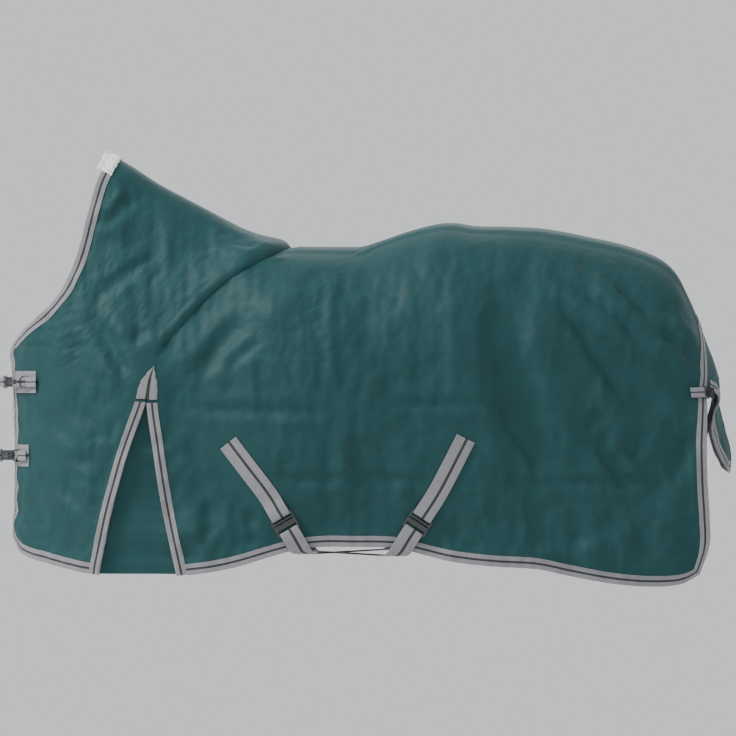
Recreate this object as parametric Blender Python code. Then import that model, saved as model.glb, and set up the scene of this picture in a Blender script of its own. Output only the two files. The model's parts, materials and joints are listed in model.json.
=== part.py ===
"""High-neck turnout rug, hung over the space of a standing horse with every strap fastened.

Frame: metres, +Z up. The horse faces -X and its left side faces -Y. The origin is on the
underside of the lining at the spine, just behind the withers, where the rug rests on the back.

The cloth is drawn in side view, as (along, up) points in hundredths of RUG_LENGTH and SIDE_DROP,
and half_width() says how far out from the spine plane the outer face lies.
"""

import math

import bmesh
import bpy
from mathutils import Matrix, Vector

# ---- driving dimensions ---------------------------------------------------------------
RUG_LENGTH = 1.755  # chest to rear edge, in side view
SIDE_DROP = 0.8475  # back to the lowest hem, in side view
BARREL_HALF_WIDTH = 0.300
RUMP_HALF_WIDTH = 0.265
CHEST_HALF_WIDTH = 0.240
NECK_HALF_WIDTH = 0.118
CHEST_ROUNDING = 0.33  # length over which the chest curves round to the side
BELLY_TUCK = 0.14  # share of the half width that the surcingles draw in at the belly hem
SPINE_FLAT = 0.020  # half width of the strip that lies flat on the spine
CLOSING_HALF_GAP = 0.006  # from the spine plane to the raw closing edge at the chest

SHELL = 0.0022
LINING = 0.0010
LAYER_GAP = 0.0006  # between cloth layers
SEAM_GAP = 0.0008  # between pieces sewn edge to edge
BINDING_WIDTH = 0.026
BINDING = 0.0010
BINDING_GAP = 0.0006
STACK = SHELL + LAYER_GAP + LINING

WEBBING = 0.0016
WEBBING_GAP = 0.0006
SURCINGLE_WIDTH = 0.050
PATCH_WIDTH = 0.055
STRAP_WIDTH = 0.025
METAL_GAP = 0.0005  # running clearance between metal pieces, and between metal and webbing

# ---- outlines in side view ------------------------------------------------------------
NECK_TOP = (
    (-32.8, 27.4), (-29.9, 24.0), (-25.9, 18.6), (-21.9, 14.2), (-17.9, 9.8),
    (-14.0, 5.4), (-11.4, 2.8), (-9.2, 1.2), (-7.0, 0.2),
)
BACK_TOP = (
    (-7.0, 0.2), (-3.2, 0.0), (-1.5, 0.0), (1.5, 0.0), (3.2, 0.1), (6.0, 1.9), (10.0, 4.7), (14.0, 6.8),
    (16.5, 7.1), (19.5, 6.2), (24.0, 6.0), (28.5, 5.6), (32.0, 4.5), (36.0, 2.8), (40.0, 1.0), (43.6, -1.4),
    (46.2, -4.0), (48.2, -8.0), (49.9, -14.8), (50.9, -19.5), (51.6, -23.0),
)
NECKLINE = (
    (-32.8, 27.4), (-34.6, 19.6), (-35.8, 10.6), (-37.6, -3.5), (-39.7, -13.0), (-42.5, -19.8),
    (-45.3, -25.0), (-47.2, -29.5), (-47.1, -36.0), (-46.8, -45.4), (-46.6, -60.2), (-46.7, -74.9),
    (-46.7, -86.0),
)
SEAM = (
    (-7.0, 0.2), (-11.5, -4.4), (-15.5, -9.6), (-18.8, -15.6), (-21.9, -22.2), (-24.2, -27.6),
    (-25.8, -33.0),
    (-26.9, -38.6), (-27.4, -44.8),
)
SLIT_FRONT = ((-27.4, -44.8), (-29.6, -57.8), (-31.8, -72.3), (-33.2, -84.8), (-34.2, -96.8))
SLIT_REAR = ((-27.4, -44.8), (-26.6, -58.0), (-25.4, -74.4), (-24.2, -86.7), (-23.1, -97.0))
HEM_FRONT = ((-46.7, -86.0), (-45.4, -90.8), (-41.9, -93.4), (-37.9, -95.4), (-34.2, -96.8))
HEM_BODY = (
    (-23.1, -97.0), (-17.9, -95.6), (-14.0, -93.8), (-10.0, -91.3), (-6.0, -89.1), (-2.6, -88.3),
    (2.0, -88.3),
    (8.0, -88.6), (11.5, -90.4), (16.0, -92.6), (21.9, -94.0), (27.9, -94.8), (33.0, -97.0), (39.0, -99.2),
    (44.4, -100.0), (48.4, -99.3), (51.0, -96.5),
)
REAR_EDGE = (
    (51.6, -23.0), (52.0, -29.2), (52.2, -36.6), (52.1, -48.4), (52.0, -60.2), (52.1, -69.0), (52.4, -79.4),
    (52.4, -88.2), (51.0, -96.5),
)
NECKLINE_END = 7  # the point of NECKLINE where the neckline turns down into the closing edge
FLAT_FROM, FLAT_TO = 2, 3  # the points of BACK_TOP between which the spine is level

# ---- cross-section, by distance along the horse in metres -------------------------------
GIRTH = (
    (-0.80, CHEST_HALF_WIDTH), (-0.45, CHEST_HALF_WIDTH), (-0.05, BARREL_HALF_WIDTH),
    (0.25, BARREL_HALF_WIDTH),
    (0.60, RUMP_HALF_WIDTH), (0.92, RUMP_HALF_WIDTH * 0.86),
)
ROUNDING = ((-0.60, 0.16), (-0.30, 0.18), (-0.12, 0.25), (0.10, 0.34), (0.60, 0.33), (0.92, 0.24))

GREEN = (0.020, 0.052, 0.056)
GREY = (0.36, 0.33, 0.35)
BLACK = (0.012, 0.012, 0.013)
FLEECE = (0.80, 0.78, 0.74)
LINING_GREY = (0.055, 0.060, 0.066)
METAL = (0.16, 0.15, 0.14)


# ---- curves ---------------------------------------------------------------------------
def drawn(points):
    """Outline points in metres; the outer face is STACK above the underside of the lining."""
    return [Vector((x / 100 * RUG_LENGTH, z / 100 * SIDE_DROP + STACK)) for x, z in points]


def run_of(points):
    run = [0.0]
    for a, b in zip(points, points[1:]):
        run.append(run[-1] + (b - a).length)
    return run


def pinned(run, pins):
    """Stops from 0 to 1 by length, stretched so that point number i falls at pins[i]."""
    marks = sorted({0: 0.0, len(run) - 1: 1.0, **pins}.items())
    stops = []
    for i, r in enumerate(run):
        (a, ta), (b, tb) = next((m, n) for m, n in zip(marks, marks[1:]) if m[0] <= i <= n[0])
        stops.append(ta + (tb - ta) * (r - run[a]) / (run[b] - run[a]))
    return stops


def curve(points, pins=None):
    """A smooth line through points, as a function of t from 0 to 1."""
    stops = pinned(run_of(points), pins or {})
    last = len(points) - 1
    slopes = []
    for i in range(last + 1):
        a, b = max(i - 1, 0), min(i + 1, last)
        slopes.append((points[b] - points[a]) / (stops[b] - stops[a]))

    def at(t):
        i = next((k for k in range(last - 1) if t < stops[k + 1]), last - 1)
        span = stops[i + 1] - stops[i]
        s = (t - stops[i]) / span
        ends = points[i] * ((1 + 2 * s) * (1 - s) ** 2) + points[i + 1] * (s * s * (3 - 2 * s))
        return ends + slopes[i] * (span * s * (1 - s) ** 2) - slopes[i + 1] * (span * s * s * (1 - s))

    return at


def ease(t):
    t = min(max(t, 0.0), 1.0)
    return t * t * (3 - 2 * t)


def along(table, x):
    """The eased value at x of a table of (x, value) pairs."""
    for (a, va), (b, vb) in zip(table, table[1:]):
        if x <= b:
            return va + (vb - va) * ease((x - a) / (b - a))
    return table[-1][1]


def height_over(points, x):
    """The straight-line height at x of points that run in x; it carries on past both ends."""
    pairs = list(zip(points, points[1:]))
    a, b = next((p for p in pairs if x <= p[1].x), pairs[-1])
    return a.y + (b.y - a.y) * (x - a.x) / (b.x - a.x)


def dense(at, count):
    return [at(k / count) for k in range(count + 1)]


TOPLINE = dense(curve(drawn(NECK_TOP)), 60) + dense(curve(drawn(BACK_TOP)), 160)[1:]
SLIT_TOP = 0.55  # where the shoulder slit starts, as a share of the way down each panel
NECKLINE_AT = curve(drawn(NECKLINE), {NECKLINE_END: SLIT_TOP})
CLOSING = [NECKLINE_AT(1 - (1 - SLIT_TOP) * k / 40) for k in range(41)]
CLOSING = [Vector((p.y, p.x)) for p in CLOSING]


# ---- the shape of the horse under the rug ------------------------------------------------
def half_width(x, z):
    neck = ease((z + 0.35) / 0.50) * ease((-0.10 - x) / 0.25)
    reach = along(GIRTH, x) * (1 - neck) + NECK_HALF_WIDTH * neck
    reach *= 1 - BELLY_TUCK * ease((-0.42 - z) / 0.33) * (1 - ease((abs(x - 0.02) - 0.05) / 0.40))
    depth = max(height_over(TOPLINE, x) - z, 0.0) / along(ROUNDING, x)
    level = SPINE_FLAT / reach
    over = level + (1 - level) * math.sqrt(1 - max(1 - depth, 0.0) ** 2)
    chest_top = CLOSING[-1].x
    front = height_over(CLOSING, min(z, chest_top)) - 0.35 * max(z - chest_top, 0.0)
    back_off = max(x - front, 0.0) / CHEST_ROUNDING
    round_front = (1 - max(1 - back_off, 0.0) ** 2) ** 0.75
    return CLOSING_HALF_GAP + (reach * over - CLOSING_HALF_GAP) * round_front


def on_left(x, z, lift=0.0):
    """A point on the outer face of the left side, or lift outside it."""
    step = 0.004
    here = Vector((x, -half_width(x, z), z))
    dx = Vector((2 * step, half_width(x - step, z) - half_width(x + step, z), 0))
    dz = Vector((0, half_width(x, z - step) - half_width(x, z + step), 2 * step))
    return here + dx.cross(dz).normalized() * lift


# ---- cloth panels -------------------------------------------------------------------------
def fill(top, bottom, left, right):
    """A surface spanning four boundary lines; left and right run from the top to the bottom."""

    def at(u, v):
        rows = top(u) * (1 - v) + bottom(u) * v
        columns = left(v) * (1 - u) + right(v) * u
        upper = top(0) * (1 - u) + top(1) * u
        lower = bottom(0) * (1 - u) + bottom(1) * u
        return rows + columns - upper * (1 - v) - lower * v

    return at


def at_lengths(line, marks):
    """The points that lie at the given lengths along a line."""
    run = run_of(line)
    out = []
    for mark in marks:
        k = next((i for i in range(len(run) - 2) if mark < run[i + 1]), len(run) - 2)
        out.append(line[k].lerp(line[k + 1], (mark - run[k]) / (run[k + 1] - run[k])))
    return out


def picked(line, cuts, counts, margins):
    """Points along a fine line: counts[k] even steps from line[cuts[k]] to line[cuts[k + 1]].

    margins are the lengths of an extra first and last step, or 0 for none.
    """
    run = run_of(line)
    marks = []
    for k, count in enumerate(counts):
        a = run[cuts[k]] + (margins[0] if k == 0 else 0)
        b = run[cuts[k + 1]] - (margins[1] if k == len(counts) - 1 else 0)
        marks += [a + (b - a) * n / count for n in range(count + (k == len(counts) - 1))]
    if margins[0]:
        marks.insert(0, 0.0)
    if margins[1]:
        marks.append(run[-1])
    return at_lengths(line, marks)


def panel(flat, columns, column_cuts, row_cut, rows, margins):
    """A grid [column][row] of points on the left side; row 0 is at the spine seam.

    The cuts are fractions across and down that stay on a grid line.
    """
    size = 60
    fine = []
    for j in range(size + 1):
        line = [flat(i / size, j / size) for i in range(size + 1)]
        line = [on_left(p.x, p.y) for p in line]
        fine.append(picked(line, [round(c * size) for c in column_cuts], columns, margins[0]))
    grid = []
    for i in range(len(fine[0])):
        line = [row[i] for row in fine]
        down = picked(line, [0, round(row_cut * size), size], rows, (0, margins[1]))
        spine = Vector((down[0].x, -SEAM_GAP / 2, down[0].z))
        grid.append([spine] + down)
    return grid


def pulled_in(grid, column, rows):
    """Draws one edge column back from its seam by half the seam gap."""
    inner = 1 if column == 0 else len(grid) - 2
    edge = column % len(grid)
    for j in rows:
        inward = (grid[inner][j] - grid[edge][j]).normalized()
        grid[edge][j] = grid[edge][j] + inward * SEAM_GAP / 2
    return grid


def normals_of(grid):
    """Outward normals of a left-side grid; the flat strip at the spine keeps its own."""
    wide, tall = len(grid), len(grid[0])
    out = []
    for i in range(wide):
        column = []
        for j in range(tall):
            across = grid[min(i + 1, wide - 1)][j] - grid[max(i - 1, 0)][j]
            down = grid[i][min(j + 1, tall - 1)] - grid[i][max(j - 1, 0)]
            column.append(down.cross(across).normalized())
        out.append(column)
    for column in out:
        column[1] = column[0].copy()
    return out


def offset(grid, normals, depth):
    return [[p + n * depth for p, n in zip(a, b)] for a, b in zip(grid, normals)]


def mirrored(grid):
    return [[Vector((p.x, -p.y, p.z)) for p in column] for column in grid]


# ---- mesh helpers ---------------------------------------------------------------------------
def material(name, colour, metallic, rough):
    made = bpy.data.materials.new(name)
    made.use_nodes = True
    shader = made.node_tree.nodes["Principled BSDF"]
    shader.inputs["Base Color"].default_value = (*colour, 1)
    shader.inputs["Metallic"].default_value = metallic
    shader.inputs["Roughness"].default_value = rough
    return made


def solid(name, points, faces, colour, metallic=0.0, rough=0.8, smooth=False):
    mesh = bpy.data.meshes.new(name)
    mesh.from_pydata([tuple(p) for p in points], [], faces)
    bm = bmesh.new()
    bm.from_mesh(mesh)
    bmesh.ops.recalc_face_normals(bm, faces=bm.faces)
    for face in bm.faces:
        face.smooth = smooth
    bm.to_mesh(mesh)
    bm.free()
    thing = bpy.data.objects.new(name, mesh)
    bpy.context.scene.collection.objects.link(thing)
    mesh.materials.append(material(name, colour, metallic, rough))
    return thing


def slab(name, outer, inner, colour, turned=lambda i, j: False):
    """Cloth between an outer grid and an inner grid of the same layout.

    turned says which cells are split along their other diagonal.
    """
    wide, tall = len(outer), len(outer[0])
    points = [p for grid in (outer, inner) for column in grid for p in column]
    far = wide * tall

    def at(i, j):
        return i * tall + j

    faces = []
    for i in range(wide - 1):
        for j in range(tall - 1):
            quad = (at(i, j), at(i + 1, j), at(i + 1, j + 1), at(i, j + 1))
            if turned(i, j):
                quad = quad[1:] + quad[:1]
            faces += [quad[:3], (quad[0], quad[2], quad[3])]
            faces += [tuple(far + k for k in (quad[2], quad[1], quad[0]))]
            faces += [tuple(far + k for k in (quad[3], quad[2], quad[0]))]
    rim = [at(i, 0) for i in range(wide)] + [at(wide - 1, j) for j in range(1, tall)]
    rim += [at(i, tall - 1) for i in range(wide - 2, -1, -1)] + [at(0, j) for j in range(tall - 2, 0, -1)]
    for a, b in zip(rim, rim[1:] + rim[:1]):
        faces.append((a, b, b + far, a + far))
    return solid(name, points, faces, colour)


def lofted(name, rings, colour, closed=False, crossed=None, **look):
    """A body through rings of equal length; open ends are closed across the ring.

    crossed says of each span whether its quads split from the first corner of one ring to the
    second of the next, or the other way.
    """
    count = len(rings[0])
    points = [p for ring in rings for p in ring]
    faces = []
    spans = len(rings) if closed else len(rings) - 1
    for r in range(spans):
        a, b = r * count, (r + 1) % len(rings) * count
        for k in range(count):
            n = (k + 1) % count
            quad = (a + k, a + n, b + n, b + k)
            if crossed is None:
                faces.append(quad)
                continue
            if crossed[r] != (k % 4 == 0):
                quad = quad[1:] + quad[:1]
            faces += [quad[:3], (quad[0], quad[2], quad[3])]
    if not closed:
        for base in (0, (len(rings) - 1) * count):
            half = count // 2
            for k in range(half - 1):
                faces.append((base + k, base + k + 1, base + count - 2 - k, base + count - 1 - k))
    return solid(name, points, faces, colour, **look)


def channel(name, rim, stack=STACK, outside=BINDING, round_edge=BINDING, inside=BINDING, colour=GREY):
    """Binding folded over an edge, split into triangles as the cloth under it is.

    rim is a list of (edge, inner, edge normal, inner normal, crossed), where crossed says whether
    the cloth's diagonal runs from this inner point to the next edge point.
    """
    near = BINDING_GAP
    rings = []
    for edge, inner, n_edge, n_inner, _ in rim:
        out = (edge - inner).normalized()
        rings.append([
            inner + n_inner * (near + outside),
            edge + out * (near + round_edge) + n_edge * (near + outside),
            edge + out * (near + round_edge) - n_edge * (stack + near + inside),
            inner - n_inner * (stack + near + inside),
            inner - n_inner * (stack + near),
            edge + out * near - n_edge * (stack + near),
            edge + out * near + n_edge * near,
            inner + n_inner * near,
        ])
    return lofted(name, rings, colour, crossed=[station[4] for station in rim])


def between(a, b, share):
    return tuple(p.lerp(q, share) for p, q in zip(a[:4], b[:4])) + (a[4],)


def shortened(rim, start=0.0, end=0.0):
    """Takes a length off the first and last step of a rim."""
    rim = list(rim)
    if start:
        rim[0] = between(rim[0], rim[1], start / (rim[1][0] - rim[0][0]).length)
    if end:
        rim[-1] = between(rim[-1], rim[-2], end / (rim[-2][0] - rim[-1][0]).length)
    return rim


def flipped(rim):
    """The rim's mirror image on the right side."""
    return [tuple(Vector((p.x, -p.y, p.z)) for p in station[:4]) + (station[4],) for station in rim]


def on_both_sides(make, name, *grids, **more):
    """Makes left_NAME from the grids and right_NAME from their mirror images."""
    make("left_" + name, *grids, **more)
    make("right_" + name, *[mirrored(g) for g in grids], **more)


# ---- building the cloth -----------------------------------------------------------------------
ROWS = (7, 5)  # grid steps above and below the top of the shoulder slit


def front_grid():
    seam = curve(drawn(SEAM + SLIT_FRONT[1:]), {len(SEAM) - 1: SLIT_TOP})
    flat = fill(curve(drawn(NECK_TOP)), curve(drawn(HEM_FRONT)), NECKLINE_AT, seam)
    margins = ((BINDING_WIDTH, BINDING_WIDTH), BINDING_WIDTH)
    grid = panel(flat, [7], [0, 1], SLIT_TOP, ROWS, margins)
    return pulled_in(grid, -1, range(ROWS[0] + 2))


def body_grid():
    seam = curve(drawn(SEAM + SLIT_REAR[1:]), {len(SEAM) - 1: SLIT_TOP})
    top = curve(drawn(BACK_TOP), {FLAT_FROM: 0.10, FLAT_TO: 0.15})
    bottom = curve(drawn(HEM_BODY))
    flat = fill(top, bottom, seam, curve(drawn(REAR_EDGE)))
    margins = ((BINDING_WIDTH, BINDING_WIDTH), BINDING_WIDTH)
    grid = panel(flat, [2, 1, 11], [0, 0.10, 0.15, 1], SLIT_TOP, ROWS, margins)
    return pulled_in(grid, 0, range(ROWS[0] + 2))


def cloth(grid):
    """The outer cloth and the lining under one panel, as (outer, inner) grid pairs."""
    normals = normals_of(grid)
    shell = (grid, offset(grid, normals, -SHELL))
    lining = (offset(grid, normals, -SHELL - LAYER_GAP), offset(grid, normals, -STACK))
    return shell, lining


def body_lining(lining):
    """One piece from the left hem over the spine to the right hem."""
    whole = []
    for grid in lining:
        columns = []
        for left, right in zip(grid, mirrored(grid)):
            spine = Vector((left[0].x, 0, left[0].z))
            columns.append(list(reversed(left[1:])) + [spine] + right[1:])
        whole.append(columns)
    slab("body_lining", whole[0], whole[1], LINING_GREY, turned=lambda i, j: j <= HEM_ROW - 1)


def edging(grid, normals, cells):
    """A rim from (edge column, edge row, inner column, inner row) cells of a grid."""
    rim = []
    for (a, b, c, d), (e, f, _, _) in zip(cells, cells[1:] + cells[-1:]):
        crossed = ((e - c) % len(grid) == 1) == (f - d == 1)
        rim.append((grid[a][b], grid[c][d], normals[a][b], normals[c][d], crossed))
    return parted(rim)


def parted(rim):
    """Moves the inner points that a corner shares a little way apart."""
    inner = [station[1] for station in rim]
    out = list(rim)
    for k in range(1, len(rim) - 1):
        before, after = inner[k - 1] == inner[k], inner[k + 1] == inner[k]
        if before != after:
            there = rim[k - 1] if after else rim[k + 1]
            moved = inner[k].lerp(there[1], CORNER_SHARE)
            out[k] = (rim[k][0], moved, rim[k][2], rim[k][3].lerp(there[3], CORNER_SHARE), rim[k][4])
    return out


CORNER_SHARE = 0.06  # how far along its neighbour's step a corner's inner point is moved
TOP_ROW = ROWS[0] + 1  # the grid row at the top of the shoulder slit
HEM_ROW = sum(ROWS) + 2
SLIT_BINDING_START = 0.14  # how far into the first row below the slit top its bindings begin
FLEECE_ROW = 2  # the neck fleece reaches down to this row


def front_rim(grid):
    """From the slit along the hem, up the closing edge and the neckline to the fleece."""
    last = len(grid) - 1
    cells = [(i, HEM_ROW, i, HEM_ROW - 1) for i in range(last - 1, 0, -1)]
    cells += [(0, HEM_ROW, 1, HEM_ROW - 1)]
    cells += [(0, j, 1, j) for j in range(HEM_ROW - 1, FLEECE_ROW - 1, -1)]
    return shortened(edging(grid, normals_of(grid), cells), start=SEAM_GAP)


def body_rim(grid):
    """From the slit along the hem, round the rear corner and up to the dock."""
    last = len(grid) - 1
    cells = [(i, HEM_ROW, i, HEM_ROW - 1) for i in range(1, last)]
    cells += [(last, HEM_ROW, last - 1, HEM_ROW - 1)]
    cells += [(last, j, last - 1, j) for j in range(HEM_ROW - 1, -1, -1)]
    return shortened(edging(grid, normals_of(grid), cells), start=SEAM_GAP)


def slit_rim(grid, edge, inner):
    cells = [(edge, j, inner, j) for j in range(TOP_ROW, HEM_ROW + 1)]
    rim = edging(grid, normals_of(grid), cells)
    rim[0] = between(rim[0], rim[1], SLIT_BINDING_START)
    return rim


def make_bindings(front, body):
    rims = {
        "front_binding": front_rim(front),
        "body_binding": body_rim(body),
        "slit_front_binding": slit_rim(front, -1, -2),
        "slit_rear_binding": slit_rim(body, 0, 1),
    }
    for name, rim in rims.items():
        channel("left_" + name, rim)
        channel("right_" + name, flipped(rim))


def make_fleece(front):
    cells = [(0, j, 1, j) for j in range(FLEECE_ROW, -1, -1)]
    left = shortened(edging(front, normals_of(front), cells), start=SEAM_GAP)
    rim = left[:-1] + list(reversed(flipped(left[:-1])))
    channel("neck_fleece", rim, outside=0.003, round_edge=0.014, inside=0.009, colour=FLEECE)


def make_gussets(front, body):
    """The pleat behind the shoulder slit, reaching behind the bindings on both its edges."""
    depth = STACK + BINDING_GAP + BINDING + SEAM_GAP
    outer, inner = [], []
    for i in range(5):
        line = [front[-2][j].lerp(body[1][j], i / 4) for j in range(TOP_ROW - 1, HEM_ROW + 1)]
        outer.append([on_left(p.x, p.z, -depth) for p in line])
        inner.append([on_left(p.x, p.z, -depth - SHELL) for p in line])
    on_both_sides(lambda n, a, b: slab(n, a, b, GREEN), "shoulder_gusset", outer, inner)


CAP_LENGTH = 0.085
CAP_SHAPE = (1.0, 1.0, 0.82, 0.45, 0.06)  # half width from its foot to its tip, by binding width


def make_caps(front, body):
    """The pointed cap that covers the top ends of the slit bindings."""
    low, high = slit_rim(front, -1, -2)[0], slit_rim(body, 0, 1)[0]
    foot = (low[0] + high[0]) / 2
    up = (front[-1][TOP_ROW - 1] - front[-1][TOP_ROW]).normalized()
    layers = [[], []]
    for side in (low[1], foot, high[1]):
        reach = side - foot
        for layer, lift in zip(layers, (BINDING_GAP + 2 * BINDING, BINDING_GAP)):
            column = []
            for k, share in enumerate(CAP_SHAPE):
                p = foot + up * (SEAM_GAP + CAP_LENGTH * k / 4) + reach * share
                column.append(on_left(p.x, p.z, lift))
            layer.append(column)
    on_both_sides(lambda n, a, b: slab(n, a, b, GREY), "gusset_cap", *layers)


# ---- tail flap -----------------------------------------------------------------------------
FLAP_ROWS = 5  # the flap is sewn along the rear edge down to this row
FLAP_CENTRE = (
    (53.0, -32.4), (53.6, -36.9), (54.2, -44.2), (55.1, -53.1),
    (55.9, -58.6), (56.3, -63.1), (56.0, -67.0),
)
FLAP_SIDE = ((54.2, -45.0, 0.150), (53.2, -51.3, 0.122), (53.6, -58.7, 0.096), (55.2, -65.5, 0.062))
FLAP_GAP = 0.0014  # from the rear binding to the top edge of the flap


def flap_grid(body):
    """The left half of the flap as [across from the centre][down], on its outer face."""
    rim = body_rim(body)[::-1][: FLAP_ROWS + 1]
    reach = BINDING_GAP + BINDING + FLAP_GAP
    seam = [edge + (edge - inner).normalized() * reach for edge, inner, _, _, _ in rim]
    seam[0] = Vector((seam[0].x, 0, seam[0].z))
    centre = [seam[0]] + [Vector((p.x, 0, p.y)) for p in drawn(FLAP_CENTRE)]
    side_points = drawn([(x, z) for x, z, _ in FLAP_SIDE])
    side = [seam[-1]] + [Vector((p.x, -w, p.y)) for p, (_, _, w) in zip(side_points, FLAP_SIDE)]
    bottom = [centre[-1], centre[-1].lerp(side[-1], 0.5), side[-1]]
    flat = fill(curve(seam), curve(bottom), curve(centre), curve(side))
    size = 40
    marks = run_of(seam)
    lines = []
    for j in range(size + 1):
        line = [flat(i / size, j / size) for i in range(size + 1)] if j else seam
        full = run_of(line)[-1]
        share = (full - BINDING_WIDTH) / (marks[-1] - BINDING_WIDTH)
        lines.append(at_lengths(line, [m * share for m in marks[:-1]] + [full - BINDING_WIDTH, full]))
    columns = range(len(lines[0]))
    return [picked([line[i] for line in lines], [0, size], [6], (0, BINDING_WIDTH)) for i in columns]


def make_tail_flap(body):
    left = flap_grid(body)
    whole = left[::-1] + mirrored(left)[1:]
    normals = normals_of([[column[0]] + column for column in whole])
    normals = [column[2:3] + column[2:] for column in normals]
    last, foot = len(whole) - 1, len(whole[0]) - 1
    hinge = left[0][0]
    under = offset(whole, normals, -SHELL)
    flap = slab("tail_flap", whole, under, GREEN, lambda i, j: i == 0 and j == foot - 1)
    cells = [(0, j, 1, j) for j in range(foot)] + [(0, foot, 1, foot - 1)]
    cells += [(i, foot, i, foot - 1) for i in range(1, last)]
    cells += [(last, foot, last - 1, foot - 1)] + [(last, j, last - 1, j) for j in range(foot - 1, -1, -1)]
    rim = shortened(edging(whole, normals, cells), start=BINDING_WIDTH / 4, end=BINDING_WIDTH / 4)
    binding = channel("tail_flap_binding", rim, stack=SHELL)
    pivoted(flap, hinge)
    pivoted(binding, hinge)


def hem_corner(i, j):
    """The cell under a binding's corner in the first column splits towards that corner."""
    return i == 0 and j == HEM_ROW - 1


def make_panels(front, body):
    front_shell, front_lining = cloth(front)
    body_shell, lining = cloth(body)
    on_both_sides(lambda n, a, b: slab(n, a, b, GREEN, hem_corner), "front_panel", *front_shell)
    on_both_sides(lambda n, a, b: slab(n, a, b, LINING_GREY, hem_corner), "front_lining", *front_lining)
    on_both_sides(lambda n, a, b: slab(n, a, b, GREEN), "body_shell", *body_shell)
    body_lining(lining)



# ---- webbing, wire and plates -------------------------------------------------------------------
def swept(name, path, section, colour, closed=False, **look):
    """A body along a path of (place, thickness direction); section is (width, thickness) points."""
    count = len(path)
    rings = []
    for k, (place, up) in enumerate(path):
        before = path[(k - 1) % count if closed else max(k - 1, 0)][0]
        after = path[(k + 1) % count if closed else min(k + 1, count - 1)][0]
        run = (after - before).normalized()
        side = up.cross(run).normalized()
        up = run.cross(side)
        rings.append([place + side * a + up * b for a, b in section])
    return lofted(name, rings, colour, closed=closed, **look)


def strap_section(width):
    w, t = width / 2, WEBBING / 2
    return [(-w, -t), (w, -t), (w, t), (-w, t)]


def round_section(radius, sides=8):
    turns = [2 * math.pi * (k + 0.5) / sides for k in range(sides)]
    return [(radius * math.cos(a), radius * math.sin(a)) for a in turns]


def local(frame, x, y, z):
    return frame @ Vector((x, y, z))


def frame_of(place, run, up):
    """A frame with X along run, Z up from the cloth and Y across."""
    run = run.normalized()
    side = up.cross(run).normalized()
    up = run.cross(side)
    frame = Matrix((run, side, up)).transposed().to_4x4()
    frame.translation = place
    return frame


def turned_over(frame):
    """The frame's mirror image on the right side, as a frame for mirrored pieces."""
    return Matrix.Diagonal((1, -1, 1, 1)) @ frame


def plate(name, frame, xs, ys, filled, low, high):
    """A flat metal plate of the cells of a grid that are filled, with holes where they aren't."""
    cells = {(i, j) for i in range(len(xs) - 1) for j in range(len(ys) - 1) if filled(i, j)}
    points, index, faces = [], {}, []

    def at(i, j, z):
        if (i, j, z) not in index:
            index[i, j, z] = len(points)
            points.append(local(frame, xs[i], ys[j], z))
        return index[i, j, z]

    for i, j in sorted(cells):
        corners = [(i, j), (i + 1, j), (i + 1, j + 1), (i, j + 1)]
        sides = [(i, j - 1), (i + 1, j), (i, j + 1), (i - 1, j)]
        faces.append([at(a, b, high) for a, b in corners])
        faces.append([at(a, b, low) for a, b in reversed(corners)])
        for (a, b), (c, d), beyond in zip(corners, corners[1:] + corners[:1], sides):
            if beyond not in cells:
                faces.append([at(a, b, low), at(c, d, low), at(c, d, high), at(a, b, high)])
    return solid(name, points, faces, METAL, metallic=0.9, rough=0.42)


def turned_piece(name, frame, profile, hollow=False, sides=12):
    """A body turned about the frame's X axis from (x, radius) points.

    A hollow piece's profile is a closed line round its wall; a solid one's runs end to end.
    """
    rings = []
    for x, radius in profile:
        turns = [2 * math.pi * k / sides for k in range(sides)]
        rings.append([local(frame, x, radius * math.cos(a), radius * math.sin(a)) for a in turns])
    return lofted(name, rings, METAL, closed=hollow, metallic=0.9, rough=0.38, smooth=True)


def box(name, frame, x, y, z):
    return plate(name, frame, x, y, lambda i, j: True, *z)


def pivoted(thing, place):
    """Puts a moving piece's origin on its joint without moving the piece."""
    thing.data.transform(Matrix.Translation(-place))
    thing.location = place
    return thing


def merged(main, others, operation="UNION"):
    """Joins other bodies to a piece, or cuts them from it."""
    for other in others:
        tool = main.modifiers.new("join", "BOOLEAN")
        tool.operation = operation
        tool.object = other
    shape = main.evaluated_get(bpy.context.evaluated_depsgraph_get())
    mesh = bpy.data.meshes.new_from_object(shape)
    main.modifiers.clear()
    main.data = mesh
    for other in others:
        bpy.data.objects.remove(other)
    mesh.shade_smooth()
    mesh.set_sharp_from_angle(angle=math.radians(35))
    return main


# ---- surcingles -----------------------------------------------------------------------------------
FRONT_ANCHOR = ((-15.8, -57.9), (-13.2, -65.0), (-10.3, -72.9), (-8.6, -78.6))
REAR_ANCHOR = ((17.8, -56.6), (16.0, -64.0), (13.8, -72.7), (12.0, -78.6))
PLATE_BAR = 0.0045  # width of a plate's bars
PLATE_THICK = 0.0024
FRAME_SPARE = 0.0020  # how much wider than its webbing a plate's window is
PLATE_LIFT = 0.0086  # the plates' middle stands this far off the shell
WINDOW = 0.0075  # height of the window that webbing passes through
HOOK_WINDOW = 0.012
ANCHOR_LIFT = 0.0024  # clears the shell's slight hollows above the belly hem
UNDERLAP = 0.022  # length of webbing folded back behind a bar


def anchor_route(points):
    """The line of a webbing anchor on the left side as (place, outward direction) pairs."""
    at = curve(drawn(points))
    flat = [at(k / 6) for k in range(7)]
    return [(on_left(p.x, p.y), (on_left(p.x, p.y, 1.0) - on_left(p.x, p.y))) for p in flat]


def anchor_end(route):
    """The frame at the webbing's bar: X down the strap, Z away from the shell."""
    (before, _), (place, up) = route[-2:]
    run = (place - before).normalized()
    frame = frame_of(place, run, up)
    return frame @ Matrix.Translation((WINDOW / 2 + PLATE_BAR, 0, PLATE_LIFT))


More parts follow.
